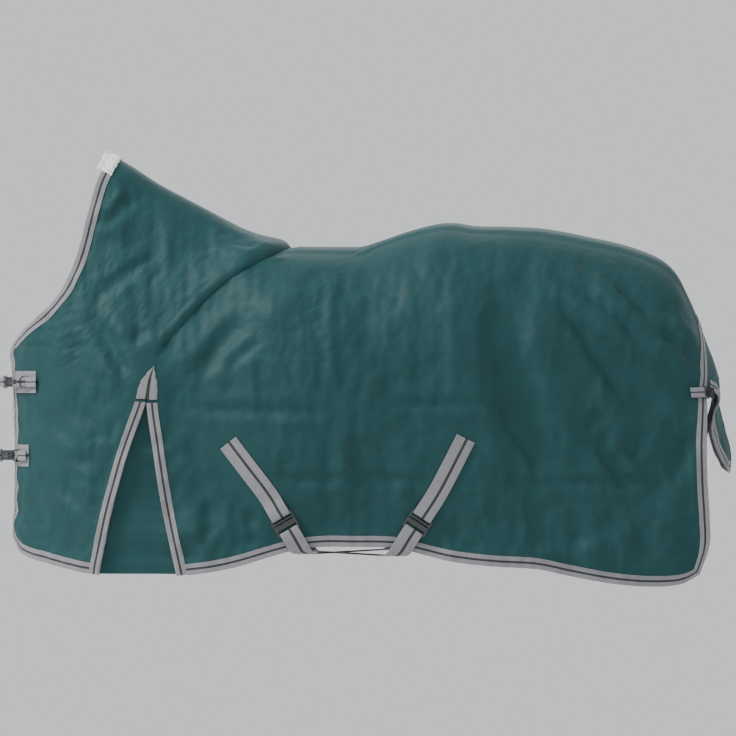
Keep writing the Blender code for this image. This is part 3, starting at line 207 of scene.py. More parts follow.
def curve(points, pins=None):
    """A smooth line through points as a function of t from 0 to 1; point i falls at pins[i]."""
    points = np.asarray([tuple(p) for p in points], float)
    run, last = run_of(points), len(points) - 1
    marks = sorted({0: 0.0, last: 1.0, **(pins or {})}.items())
    stops = np.interp(run, [run[i] for i, _ in marks], [t for _, t in marks])
    ahead, behind = np.minimum(np.arange(last + 1) + 1, last), np.maximum(np.arange(last + 1) - 1, 0)
    slopes = (points[ahead] - points[behind]) / (stops[ahead] - stops[behind])[:, None]

    def at(t):
        t = np.asarray(t, float)
        i = np.clip(np.searchsorted(stops, t, side="right") - 1, 0, last - 1)
        span = (stops[i + 1] - stops[i])[..., None]
        s = (t - stops[i])[..., None] / span
        ends = points[i] * ((1 + 2 * s) * (1 - s) ** 2) + points[i + 1] * (s * s * (3 - 2 * s))
        return ends + slopes[i] * (span * s * (1 - s) ** 2) - slopes[i + 1] * (span * s * s * (1 - s))

    return at


def ease(t):
    t = np.clip(t, 0.0, 1.0)
    return t * t * (3 - 2 * t)


def along(table, x):
    xs, values = np.array(table).T
    i = np.clip(np.searchsorted(xs, x) - 1, 0, len(xs) - 2)
    return values[i] + (values[i + 1] - values[i]) * ease((x - xs[i]) / (xs[i + 1] - xs[i]))


def height_over(points, x):
    xs, ys = np.asarray(points, float).T
    i = np.clip(np.searchsorted(xs, x) - 1, 0, len(xs) - 2)
    return ys[i] + (ys[i + 1] - ys[i]) * (x - xs[i]) / (xs[i + 1] - xs[i])


TOPLINE = np.vstack([curve(drawn(NECK_TOP))(np.linspace(0, 1, 61)),
                     curve(drawn(BACK_TOP))(np.linspace(0, 1, 161))[1:]])
NECKLINE_AT = curve(drawn(NECKLINE), {7: SLIT_TOP})
CLOSING = NECKLINE_AT(np.linspace(1, SLIT_TOP, 41))[:, ::-1]
HEMLINE = curve(drawn(HEM_BODY))(np.linspace(0, 1, 61))


def half_width(x, z):
    neck = ease((z + 0.35) / 0.50) * ease((-0.10 - x) / 0.25)
    reach = along(GIRTH, x) * (1 - neck) + NECK_HALF * neck
    reach = reach * (1 - BELLY_TUCK * ease((-0.42 - z) / 0.33) * (1 - ease((np.abs(x - 0.02) - 0.05) / 0.40)))
    depth = np.maximum(height_over(TOPLINE, x) - z, 0.0) / along(ROUNDING, x)
    level = SPINE_FLAT / reach
    over = level + (1 - level) * np.sqrt(1 - np.maximum(1 - depth, 0.0) ** 2)
    top = CLOSING[-1][0]
    front = height_over(CLOSING, np.minimum(z, top)) - 0.35 * np.maximum(z - top, 0.0)
    back_off = np.maximum(x - front, 0.0) / CHEST_ROUNDING
    rounded = (1 - np.maximum(1 - back_off, 0.0) ** 2) ** 0.75
    return CLOSING_HALF_GAP + (reach * over - CLOSING_HALF_GAP) * rounded


def on_left(x, z, lift=0.0):
    """Points on the outer face of the left side, or lift outside it."""
    x, z = np.asarray(x, float), np.asarray(z, float)
    h = 0.004
    dx = half_width(x - h, z) - half_width(x + h, z)
    dz = half_width(x, z - h) - half_width(x, z + h)
    out = np.stack([dx * 2 * h, np.full_like(x, -4 * h * h), 2 * h * dz], -1)
    out /= np.linalg.norm(out, axis=-1, keepdims=True)
    return np.stack([x, -half_width(x, z), z], -1) + out * np.asarray(lift)[..., None]


def near_line(x, z, points):
    """Distance to a line, its signed side, and how far along it each place lies from 0 to 1."""
    run = run_of(points)
    best = np.full(x.shape, 9.0)
    side, share = np.zeros(x.shape), np.zeros(x.shape)
    for k, (a, b) in enumerate(zip(points, points[1:])):
        ex, ez = b[0] - a[0], b[1] - a[1]
        long = ex * ex + ez * ez
        t = np.clip(((x - a[0]) * ex + (z - a[1]) * ez) / long, 0, 1)
        qx, qz = x - a[0] - t * ex, z - a[1] - t * ez
        far = np.hypot(qx, qz)
        new = far < best
        best = np.where(new, far, best)
        side = np.where(new, np.sign(ex * qz - ez * qx), side)
        share = np.where(new, (run[k] + t * math.sqrt(long)) / run[-1], share)
    return best, side, share


FOLD_RISE, FOLD_BREADTH = 1.25, 2.1  # the listed folds are sharp creases; cloth rounds them off


# ---- how the cloth lies ------------------------------------------------------------------------
def fold_height(x, z, fold):
    kind, height, width, a, b, bow = fold
    a, b = np.array(a), np.array(b)
    across = np.array([-(b - a)[1], (b - a)[0]]) / np.linalg.norm(b - a)
    line = [tuple(a + (b - a) * t - across * bow * 4 * t * (1 - t)) for t in np.linspace(0, 1, 9)]
    far, side, share = near_line(x, z, line)
    height, width = FOLD_RISE * height / 1000, FOLD_BREADTH * width / 1000
    taper = ease(share / 0.35) * ease((1 - share) / 0.35)
    if kind == "step":
        return height * side * (1 - np.exp(-far / width)) * np.exp(-(far / (5 * width)) ** 2) * taper
    if kind == "ridge":
        return height * np.exp(-(far / width) ** 2) * taper
    lips = 0.55 * np.exp(-((far - 1.7 * width) / width) ** 2)
    return height * (lips - np.exp(-(far / width) ** 2)) * taper


def soft_noise(x, z, scale_x, scale_z, seed):
    flat = np.stack([x / scale_x, z / scale_z], -1).reshape(-1, 2)
    made = [noise.fractal(Vector((float(a), float(b), seed)), 0.6, 2.0, 3) for a, b in flat]
    return np.array(made).reshape(x.shape)


def lay(x, z, panel, side):
    """How far the cloth stands off its smooth shape, in metres."""
    strength = bpy.context.scene.rug_cloth.fold_strength
    own = 1.0 if side == "left" else 0.85
    drop = height_over(TOPLINE, x) - z
    rise = sum(fold_height(x, z, f) for f in FOLDS) * own
    seed = 3.0 if side == "left" else 11.0
    rise = rise + 0.0065 * soft_noise(x, z, 0.10, 0.22, seed)
    rise = rise + 0.0022 * soft_noise(x, z, 0.035, 0.05, seed + 1)
    rise = rise + 0.0010 * soft_noise(x, z, 0.014, 0.016, seed + 2)
    rise = rise * ease(drop / 0.10) * strength
    seam, _, share = near_line(x, z, drawn(SEAM))
    upper = 1 - 0.55 * share
    if panel == "front":
        # It rolls over towards the seam and turns down steeply to meet the body panel there.
        roll = seam / 0.022 * np.exp(1 - seam / 0.022)
        rise = rise + upper * (0.014 * roll - 0.004 * np.exp(-(seam / 0.010) ** 2))
    else:
        rise = rise - upper * 0.004 * np.exp(-(seam / 0.016) ** 2)
    hold = np.ones(x.shape)
    for line in QUIET:
        hold = hold * (1 - 0.95 * np.exp(-(near_line(x, z, line)[0] / 0.055) ** 4))
    if panel == "body":
        hold = hold * ease((0.925 - x) / 0.05)
    under_tab = near_line(x, z, ((0.86, -0.364), (0.90, -0.364)))[0]
    rise = rise * hold
    rise = np.where(rise > 0, 0.022 * np.tanh(rise / 0.022), 0.013 * np.tanh(rise / 0.013))
    return rise - 0.0045 * np.exp(-(under_tab / 0.035) ** 2)


def normals_of(grid):
    across = np.gradient(grid, axis=0)
    down = np.gradient(grid, axis=1)
    out = np.cross(down, across)
    return out / np.maximum(np.linalg.norm(out, axis=-1, keepdims=True), 1e-9)


def resample(line, marks):
    run = run_of(line)
    return np.stack([np.interp(marks, run, line[:, k]) for k in range(3)], -1)


def marks_over(length, start, end, count):
    """Even marks with four steps of tape width at a taped start or end."""
    sub = np.linspace(0, TAPE_WIDTH, 5)
    a, b = (TAPE_WIDTH if start else 0), length - (TAPE_WIDTH if end else 0)
    inner = np.linspace(a, b, count)
    return np.concatenate([sub[:-1] if start else [], inner, (length - sub[:-1])[::-1] if end else []])


_panels = {}


def between(top, bottom, left, right, u, v):
    """The surface over the marks u and v that joins four edge curves."""
    uu, vv = u[None, :, None], v[:, None, None]
    flat = top(u)[None] * (1 - vv) + bottom(u)[None] * vv
    flat = flat + left(v)[:, None] * (1 - uu) + right(v)[:, None] * uu
    flat = flat - (top(0.0) * (1 - uu) + top(1.0) * uu) * (1 - vv)
    return flat - (bottom(0.0) * (1 - uu) + bottom(1.0) * uu) * vv


def smooth_panel(panel):
    """The cloth's smooth shape on the left, as [column][row] points; row 0 is at the spine."""
    if panel == "front":
        seam = curve(drawn(SEAM + SLIT_FRONT[1:]), {8: SLIT_TOP})
        top, bottom, left, right = curve(drawn(NECK_TOP)), curve(drawn(HEM_FRONT)), NECKLINE_AT, seam
        wide = 88
    else:
        seam = curve(drawn(SEAM + SLIT_REAR[1:]), {8: SLIT_TOP})
        top, bottom = curve(drawn(BACK_TOP), {2: 0.10, 3: 0.15}), curve(drawn(HEM_BODY))
        left, right = seam, curve(drawn(REAR_EDGE))
        wide = 190
    u, v = np.linspace(0, 1, 260), np.linspace(0, 1, 260) ** 1.6
    flat = between(top, bottom, left, right, u, v)
    fine = on_left(flat[..., 0], flat[..., 1])
    rows = [resample(line, marks_over(run_of(line)[-1], True, True, wide)) for line in fine]
    rows = np.array(rows)
    grid = []
    for i in range(rows.shape[1]):
        line = rows[:, i]
        down = resample(line, marks_over(run_of(line)[-1], False, True, 150))
        spine = np.array([down[0][0], -SEAM_GAP / 2, down[0][2]])
        grid.append(np.vstack([spine, spine * 0.5 + down[0] * 0.5, down]))
    return np.array(grid)


def cloth(panel, side):
    """The laid cloth: outer points, outward normals and the cloth's own flat place in metres."""
    if (panel, side) not in _panels:
        grid = smooth_panel(panel)
        out = normals_of(grid)
        rise = lay(grid[..., 0], grid[..., 2], panel, side)
        rise = rise + settled(grid, out, rise)
        points = grid + out * rise[..., None]
        across = np.linalg.norm(np.diff(grid, axis=0), axis=-1)
        down = np.linalg.norm(np.diff(grid, axis=1), axis=-1)
        u = np.concatenate([np.zeros((1, grid.shape[1])), np.cumsum(across, 0)])
        v = np.concatenate([np.zeros((grid.shape[0], 1)), np.cumsum(down, 1)], 1)
        if side == "right":
            points = points * (1, -1, 1)
        normals = normals_of(points) * (-1 if side == "right" else 1)
        # Along the seam both panels keep the smooth shape's normals, so their layers meet.
        smooth = out * ((1, -1, 1) if side == "right" else (1, 1, 1))
        column = np.arange(len(grid))[:, None, None]
        share = 1 - ease((len(grid) - 1 - column if panel == "front" else column) / 6.0)
        normals = smooth * share + normals * (1 - share)
        normals /= np.linalg.norm(normals, axis=-1, keepdims=True)
        _panels[panel, side] = (points, normals, np.stack([u, v], -1))
    return _panels[panel, side]


def settled(grid, out, rise):
    """How the cloth buckles as it hangs: a coarse copy, cut a little large, is simulated."""
    pick = (slice(None, None, 4), slice(None, None, 4))
    start = (grid + out * rise[..., None])[pick]
    wide, tall = start.shape[:2]
    faces = [(i * tall + j, (i + 1) * tall + j, (i + 1) * tall + j + 1, i * tall + j + 1)
             for i in range(wide - 1) for j in range(tall - 1)]
    mesh = bpy.data.meshes.new("hanging")
    mesh.from_pydata(start.reshape(-1, 3).tolist(), [], faces)
    thing = bpy.data.objects.new("hanging", mesh)
    bpy.context.scene.collection.objects.link(thing)
    held = thing.vertex_groups.new(name="held")
    rim = [i * tall + j for i in range(wide) for j in range(tall) if i in (0, wide - 1) or j < 4
           or j == tall - 1]
    held.add(rim, 1.0, "REPLACE")
    held.add(sorted(set(range(wide * tall)) - set(rim)), 0.02, "REPLACE")
    drape = thing.modifiers.new("drape", "CLOTH")
    drape.settings.quality = 5
    drape.settings.mass = 0.25
    drape.settings.bending_stiffness = 0.6
    drape.settings.vertex_group_mass = "held"
    drape.settings.shrink_min = -0.02
    drape.collision_settings.use_collision = False
    drape.point_cache.frame_start, drape.point_cache.frame_end = 1, 18
    for step in range(1, 19):
        bpy.context.scene.frame_set(step)
    shaped = thing.evaluated_get(bpy.context.evaluated_depsgraph_get()).data
    places = np.empty(len(shaped.vertices) * 3)
    shaped.vertices.foreach_get("co", places)
    bpy.data.objects.remove(thing)
    bpy.context.scene.frame_set(1)
    moved = ((places.reshape(wide, tall, 3) - start) * out[pick]).sum(-1)
    moved = np.clip(moved, -0.004, 0.007)
    i = np.minimum(np.arange(grid.shape[0]) / 4, wide - 1)
    j = np.minimum(np.arange(grid.shape[1]) / 4, tall - 1)
    half = np.array([np.interp(i, np.arange(wide), moved[:, k]) for k in range(tall)]).T
    full = np.array([np.interp(j, np.arange(tall), row) for row in half])
    x, z = grid[..., 0], grid[..., 2]
    for line in QUIET:
        full = full * (1 - np.exp(-(near_line(x, z, line)[0] / 0.055) ** 4))
    return full * ease((0.925 - x) / 0.05)


# ---- meshes ----------------------------------------------------------------------------------------
def solid(name, points, faces, material, uvs=None, smooth=True):
    points = np.asarray(points, float).reshape(-1, 3)
    mesh = bpy.data.meshes.new(name)
    mesh.from_pydata(points.tolist(), [], [tuple(int(k) for k in f) for f in faces])
    work = bmesh.new()
    work.from_mesh(mesh)
    bmesh.ops.recalc_face_normals(work, faces=work.faces)
    work.to_mesh(mesh)
    work.free()
    mesh.polygons.foreach_set("use_smooth", [smooth] * len(mesh.polygons))
    if uvs is not None:
        corner = np.empty(len(mesh.loops), int)
        mesh.loops.foreach_get("vertex_index", corner)
        layer = mesh.uv_layers.new(name="UVMap")
        layer.data.foreach_set("uv", np.asarray(uvs, float).reshape(-1, 2)[corner].ravel())
    mesh.set_sharp_from_angle(angle=math.radians(50))
    mesh.materials.append(material)
    thing = bpy.data.objects.new(name, mesh)
    bpy.context.scene.collection.objects.link(thing)
    return thing


def layered(name, outer, inner, uv, material):
    """A closed layer of cloth between two grids of the same layout."""
    wide, tall = outer.shape[:2]
    index = np.arange(wide * tall).reshape(wide, tall)
    quads = np.stack([index[:-1, :-1], index[1:, :-1], index[1:, 1:], index[:-1, 1:]], -1).reshape(-1, 4)
    far = wide * tall
    faces = quads.tolist() + (quads[:, ::-1] + far).tolist()
    rim = index[:, 0].tolist() + index[-1, 1:].tolist()
    rim += index[-2::-1, -1].tolist() + index[0, -2:0:-1].tolist()
    faces += [(b, a, a + far, b + far) for a, b in zip(rim, rim[1:] + rim[:1])]
    return solid(name, np.concatenate([outer.reshape(-1, 3), inner.reshape(-1, 3)]), faces, material,
                 np.concatenate([uv.reshape(-1, 2)] * 2))


def lofted(name, rings, uvs, material, smooth=True):
    rings = np.asarray(rings, float)
    spans, count = rings.shape[:2]
    index = np.arange(spans * count).reshape(spans, count)
    nxt = np.roll(index, -1, axis=1)
    faces = np.stack([index[:-1], nxt[:-1], nxt[1:], index[1:]], -1).reshape(-1, 4).tolist()
    faces += [index[0, ::-1].tolist(), index[-1].tolist()]
    return solid(name, rings, faces, material, uvs, smooth)


def sample(grid, a, b):
    """A grid read between its points."""
    i, j = min(int(a), grid.shape[0] - 2), min(int(b), grid.shape[1] - 2)
    s, t = a - i, b - j
    near = grid[i, j] * (1 - s) + grid[i + 1, j] * s
    far = grid[i, j + 1] * (1 - s) + grid[i + 1, j + 1] * s
    return near * (1 - t) + far * t


STITCH_ROWS = {"rug": [], "tail_flap": []}


def tape_rings(points, normals, cells, stack=STACK, puff=None, body="rug"):
    """Tape folded over an edge. cells are (edge column, row, inner column, row) of the grid."""
    outside, round_edge, inside = puff or (TAPE, TAPE, TAPE)
    rings, uvs, run, before, row = [], [], 0.0, None, []
    going = [TAPE_WIDTH * k / 6 for k in range(7)]
    across = going + [TAPE_WIDTH + 0.002] * 3 + going[::-1] + going + [TAPE_WIDTH] * 2 + going[::-1]
    for a, b, c, d in cells:
        steps = [(c + (a - c) * k / 6, d + (b - d) * k / 6) for k in range(7)]
        face = [sample(points, *s) for s in steps]
        out = [sample(normals, *s) for s in steps]
        out = [n / np.linalg.norm(n) for n in out]
        edge, n = face[-1], out[-1]
        away = edge - face[-2]
        away = away - n * away.dot(n)
        away /= np.linalg.norm(away)
        middle, half = edge - n * stack / 2, stack / 2 + TAPE_GAP
        crown = [math.sin(math.pi * min(k / 6 + 0.12, 1)) ** 0.5 for k in range(7)] if puff else [1] * 7
        outer = [p + m * (TAPE_GAP + outside * h) for p, m, h in zip(face, out, crown)]
        for turn in (60, 90, 120):
            t = math.radians(turn - 90)
            ahead = away * (TAPE_GAP + round_edge) * math.cos(t)
            outer.append(middle + ahead - n * (half + outside) * math.sin(t))
        backwards = zip(face[::-1], out[::-1], crown[::-1])
        outer += [p - m * (stack + TAPE_GAP + inside * h) for p, m, h in backwards]
        inner = [p - m * (stack + TAPE_GAP * 0.8) for p, m in zip(face, out)]
        inner += [edge + away * TAPE_GAP * 0.8 - n * stack, edge + away * TAPE_GAP * 0.8]
        inner += [p + m * TAPE_GAP * 0.8 for p, m in zip(face[::-1], out[::-1])]
        ring = np.array(outer + inner)
        row.append(face[1] + out[1] * (TAPE_GAP + outside + 0.0003))
        run += 0 if before is None else float(np.linalg.norm(edge - before))
        before = edge
        rings.append(ring)
        uvs.append([(run, w) for w in across])
    if not puff:
        STITCH_ROWS[body].append(row)
    return rings, uvs


# ---- materials ----------------------------------------------------------------------------------------
def linear(hex_colour):
    """An sRGB hex colour as linear light."""
    parts = [int(hex_colour[k:k + 2], 16) / 255 for k in (1, 3, 5)]
    return tuple(p / 12.92 if p <= 0.04045 else ((p + 0.055) / 1.055) ** 2.4 for p in parts) + (1.0,)


def add(tree, kind, inputs=None, **settings):
    """Adds a node; an input given a socket is linked to it, and any other value is set."""
    made = tree.nodes.new(kind)
    for key, value in settings.items():
        setattr(made, key, value)
    for key, value in (inputs or {}).items():
        if isinstance(value, bpy.types.NodeSocket):
            tree.links.new(value, made.inputs[key])
        else:
            made.inputs[key].default_value = value
    return made


def finish_named(name, **constants):
    made = bpy.data.materials.new(name)
    made.use_nodes = True
    shader = made.node_tree.nodes["Principled BSDF"]
    for key, value in constants.items():
        shader.inputs[key.replace("_", " ").title().replace("Ior", "IOR")].default_value = value
    return made, made.node_tree, shader


def bump(tree, shader, height, distance, strength=1.0):
    made = add(tree, "ShaderNodeBump", {"Height": height, "Distance": distance, "Strength": strength})
    tree.links.new(made.outputs["Normal"], shader.inputs["Normal"])


def threads(tree, across, pitch, angle=0.0):
    """Ridges of one pitch in metres, as a socket from 0 to 1."""
    turned = add(tree, "ShaderNodeMapping", {"Vector": across, "Rotation": (0, 0, angle)})
    wave = add(tree, "ShaderNodeTexWave", {"Vector": turned.outputs[0], "Scale": 0.314 / pitch},
               wave_profile="SIN")
    return wave.outputs["Fac"]


def ripstop(name, colour, roughness=0.60, grid=0.006):
    """Coated polyester: a broad soft shine, a faint ripstop grid and small crumples.

    The real weave is about 0.5 mm and can't show, so only the ripstop grid is drawn, at its 6 mm.
    """
    made, tree, shader = finish_named(name, sheen_weight=0.04, sheen_roughness=0.4, specular_ior_level=0.22)
    flat = add(tree, "ShaderNodeUVMap", uv_map="UVMap").outputs["UV"]
    cloudy = add(tree, "ShaderNodeTexNoise", {"Vector": flat, "Scale": 14.0, "Detail": 3.0}).outputs["Fac"]
    fine = add(tree, "ShaderNodeTexNoise", {"Vector": flat, "Scale": 420.0, "Detail": 2.0}).outputs["Fac"]
    crumple = add(tree, "ShaderNodeTexNoise", {"Vector": flat, "Scale": 55.0, "Detail": 5.0,
                                               "Roughness": 0.6}).outputs["Fac"]
    dark = tuple(c * 0.80 for c in linear(colour)[:3]) + (1.0,)
    light = tuple(min(c * 1.16, 1) for c in linear(colour)[:3]) + (1.0,)
    tone = add(tree, "ShaderNodeMix", {"Factor": cloudy}, data_type="RGBA")
    tone.inputs[6].default_value, tone.inputs[7].default_value = dark, light
    tree.links.new(tone.outputs[2], shader.inputs["Base Color"])
    rough = add(tree, "ShaderNodeMapRange", {"Value": fine, "To Min": roughness - 0.06,
                                             "To Max": roughness + 0.07})
    tree.links.new(rough.outputs[0], shader.inputs["Roughness"])
    cells = add(tree, "ShaderNodeMath", {0: threads(tree, flat, grid),
                                         1: threads(tree, flat, grid, math.pi / 2)}, operation="MAXIMUM")
    raised = add(tree, "ShaderNodeMath", {0: cells.outputs[0], 1: 0.12}, operation="MULTIPLY")
    both = add(tree, "ShaderNodeMath", {0: crumple, 1: 1.0, 2: raised.outputs[0]}, operation="MULTIPLY_ADD")
    bump(tree, shader, both.outputs[0], 0.0022, 0.55)
    return made


def striped(name, light, stripe, width, at, wide, roughness=0.72):
    """Woven tape or webbing with one dark stripe; its ribs are drawn at 1.5 mm."""
    made, tree, shader = finish_named(name, sheen_weight=0.15, specular_ior_level=0.3)
    flat = add(tree, "ShaderNodeUVMap", uv_map="UVMap").outputs["UV"]
    parts = add(tree, "ShaderNodeSeparateXYZ", {"Vector": flat})
    gap = add(tree, "ShaderNodeMath", {0: parts.outputs["Y"], 1: width * at}, operation="SUBTRACT")
    far = add(tree, "ShaderNodeMath", {0: gap.outputs[0]}, operation="ABSOLUTE")
    on = add(tree, "ShaderNodeMapRange", {"Value": far.outputs[0], "From Min": wide / 2 - 0.0004,
                                          "From Max": wide / 2 + 0.0004,
                                          "To Min": 1.0, "To Max": 0.0})
    ribs = threads(tree, flat, 0.0015)
    slant = threads(tree, flat, 0.0030, math.pi / 4)
    grime = add(tree, "ShaderNodeTexNoise", {"Vector": flat, "Scale": 60.0, "Detail": 3.0}).outputs["Fac"]
    base = add(tree, "ShaderNodeMix", {"Factor": grime}, data_type="RGBA")
    base.inputs[6].default_value = tuple(c * 0.86 for c in linear(light)[:3]) + (1.0,)
    base.inputs[7].default_value = tuple(min(c * 1.08, 1) for c in linear(light)[:3]) + (1.0,)
    tone = add(tree, "ShaderNodeMix", {"Factor": on.outputs[0], 6: base.outputs[2], 7: linear(stripe)},
               data_type="RGBA")
    tree.links.new(tone.outputs[2], shader.inputs["Base Color"])
    rough = add(tree, "ShaderNodeMapRange", {"Value": grime, "To Min": roughness - 0.08,
                                             "To Max": roughness + 0.1})
    tree.links.new(rough.outputs[0], shader.inputs["Roughness"])
    weave = add(tree, "ShaderNodeMath", {0: ribs, 1: slant}, operation="ADD")
    bump(tree, shader, weave.outputs[0], 0.0004, 0.6)
    return made


def plain_weave(name, colour, roughness, pitch, depth):
    """Woven thread or lining in one colour, from its place on the object."""
    made, tree, shader = finish_named(name, sheen_weight=0.2)
    place = add(tree, "ShaderNodeTexCoord").outputs["Object"]
    grain = add(tree, "ShaderNodeTexNoise", {"Vector": place, "Scale": 1 / pitch,
                                             "Detail": 3.0}).outputs["Fac"]
    tone = add(tree, "ShaderNodeMix", {"Factor": grain}, data_type="RGBA")
    tone.inputs[6].default_value = tuple(c * 0.78 for c in linear(colour)[:3]) + (1.0,)
    tone.inputs[7].default_value = tuple(min(c * 1.15, 1) for c in linear(colour)[:3]) + (1.0,)
    tree.links.new(tone.outputs[2], shader.inputs["Base Color"])
    rough = add(tree, "ShaderNodeMapRange", {"Value": grain, "To Min": roughness - 0.08,
                                             "To Max": roughness + 0.08})
    tree.links.new(rough.outputs[0], shader.inputs["Roughness"])
    bump(tree, shader, grain, depth, 0.6)
    return made


def gunmetal(name, colour):
    """Die-cast zinc with a dark plating: satin, with fine casting grain."""
    made, tree, shader = finish_named(name, metallic=0.9)
    place = add(tree, "ShaderNodeTexCoord").outputs["Object"]
    grain = add(tree, "ShaderNodeTexNoise", {"Vector": place, "Scale": 900.0, "Detail": 3.0}).outputs["Fac"]
    worn = add(tree, "ShaderNodeTexNoise", {"Vector": place, "Scale": 160.0, "Detail": 4.0}).outputs["Fac"]
    tone = add(tree, "ShaderNodeMix", {"Factor": worn}, data_type="RGBA")
    tone.inputs[6].default_value = tuple(c * 0.7 for c in linear(colour)[:3]) + (1.0,)
    tone.inputs[7].default_value = tuple(c * 1.5 for c in linear(colour)[:3]) + (1.0,)
    tree.links.new(tone.outputs[2], shader.inputs["Base Color"])
    rough = add(tree, "ShaderNodeMapRange", {"Value": worn, "To Min": 0.28, "To Max": 0.48})
    tree.links.new(rough.outputs[0], shader.inputs["Roughness"])
    bump(tree, shader, grain, 0.0002, 0.4)
    return made


_finishes = {}


def finish_of(kind):
    colours = bpy.context.scene.rug_colours
    makers = {
        "ripstop": lambda: ripstop("coated_ripstop_polyester", colours.cloth),
        "gusset": lambda: ripstop("gusset_polyester", colours.cloth, 0.64),
        "tape": lambda: striped("woven_edge_tape", colours.tape, colours.stripe, TAPE_WIDTH, 0.52, 0.0055),
        "webbing": lambda: striped("polypropylene_webbing", colours.tape, colours.stripe, SURCINGLE, 0.56,
                                   0.0070),
        "strap": lambda: striped("narrow_webbing", colours.tape, colours.stripe, STRAP, 0.5, 0.0035),
        "black": lambda: striped("black_webbing", "#26272b", "#17181a", STRAP, 0.5, 0.006),
        "lining": lambda: plain_weave("polyester_lining", colours.lining, 0.6, 0.004, 0.0004),
        "fleece": lambda: plain_weave("curled_fleece", colours.fleece, 0.9, 0.003, 0.0025),
        "thread": lambda: plain_weave("polyester_thread", colours.thread, 0.6, 0.001, 0.0002),
        "metal": lambda: gunmetal("dark_plated_zinc", colours.metal),
    }
    if kind not in _finishes:
        _finishes[kind] = makers[kind]()
    return _finishes[kind]


def settle_piece(piece, body, slot, *nodes):
    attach(piece, body)
    if nodes:
        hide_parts(*nodes)
    return piece


# ---- webbing paths, as in the model ------------------------------------------------------------------
def vec(x, z, lift=0.0):
    return Vector(on_left(x, z, lift))


def local(place, x, y, z):
    return place @ Vector((x, y, z))


def frame_of(place, run, up):
    run = run.normalized()
    side = up.cross(run).normalized()
    up = run.cross(side)
    made = Matrix((run, side, up)).transposed().to_4x4()
    made.translation = place
    return made


def up_of(place):
    return place.to_3x3() @ Vector((0, 0, 1))


def around_bar(place, start, radius, turn, steps=6):
    path = []
    for k in range(steps + 1):
        a = start + turn * k / steps
        out = Vector((math.cos(a), 0, math.sin(a)))
        path.append((local(place, *(out * radius)), place.to_3x3() @ out))
    return path


def right_of(path):
    return [(Vector((p.x, -p.y, p.z)), Vector((u.x, -u.y, u.z))) for p, u in path]


def ribbon(name, path, width, material, halves=None, step=0.004):
    """Webbing along (place, thickness direction) pairs, with softened selvedges."""
    places = np.array([tuple(p) for p, _ in path])
    ups = np.array([tuple(u) for _, u in path])
    run = run_of(places)
    t = np.linspace(0, 1, max(int(run[-1] / step), 24))
    line = curve(places)(t)
    lift = np.stack([np.interp(t, run / run[-1], ups[:, k]) for k in range(3)], -1)
    ahead = np.gradient(line, axis=0)
    ahead /= np.maximum(np.linalg.norm(ahead, axis=1, keepdims=True), 1e-9)
    if halves is None:
        side = np.cross(lift, ahead)
        side /= np.linalg.norm(side, axis=1, keepdims=True)
        lift = np.cross(ahead, side)
        side = side * width / 2
    else:
        halves = np.array([tuple(h) for h in halves])
        side = np.stack([np.interp(t, run / run[-1], halves[:, k]) for k in range(3)], -1)
        lift /= np.linalg.norm(lift, axis=1, keepdims=True)
    marks = np.linspace(-1, 1, 11)
    thick = WEBBING / 2 * np.where(np.abs(marks) > 0.99, 0.45, 1.0)
    face = line[:, None] + side[:, None] * marks[None, :, None]
    rings = np.concatenate([face + lift[:, None] * thick[None, :, None],
                            (face - lift[:, None] * thick[None, :, None])[:, ::-1]], 1)
    across = np.concatenate([marks, marks[::-1]]) * width / 2 + width / 2
    uvs = np.stack([np.repeat(run[-1] * t[:, None], 22, 1), np.repeat(across[None], len(t), 0)], -1)
    made = lofted(name, rings, uvs, material)
    return made, line, side, lift


def sewn_box(line, side, lift, a, b, cross=True):
    """Rows of stitches round a stretch of webbing, from share a to share b, with an X inside."""
    n = len(line) - 1
    i, j = int(a * n), int(b * n)
    up = lift * (WEBBING / 2 + 0.0003)
    edge = [(k, s) for k in range(i, j + 1) for s in (-0.86,)] + [(j, s) for s in np.linspace(-0.86, 0.86, 9)]
    edge += [(k, 0.86) for k in range(j, i - 1, -1)] + [(i, s) for s in np.linspace(0.86, -0.86, 9)]
    STITCH_ROWS["rug"].append([line[k] + side[k] * s + up[k] for k, s in edge])
    if cross:
        for way in (1, -1):
            steps = np.linspace(0, 1, 12)
            STITCH_ROWS["rug"].append([line[int(i + (j - i) * t)]
                                       + side[int(i + (j - i) * t)] * way * (-0.8 + 1.6 * t)
                                       + up[int(i + (j - i) * t)] for t in steps])


PLATE_BAR, PLATE_THICK, PLATE_LIFT, WINDOW, HOOK_WINDOW = 0.0045, 0.0024, 0.0086, 0.0075, 0.012
ANCHOR_LIFT, UNDERLAP, BAR_TURN, HOOK_SLOT = 0.0024, 0.022, 0.0041, 0.012
HEM_CLEARANCE, CROSSING, FOLD_BACK = 0.0068, 0.0050, 0.026
RING_WIRE, RING_REACH, RING_TILT, HOOK_LEAN = 0.0018, 0.021, math.radians(30), math.radians(4)
TAB_LENGTH, STRAP_LIFT, SNAP_REACH, SNAP_RISE = 0.034, 0.0007, 0.0685, 0.0050
TAIL_REACH, TAIL_SAG = 0.016, 0.105
LOOP_TURN = RING_WIRE + METAL_GAP + WEBBING / 2 + 0.0004


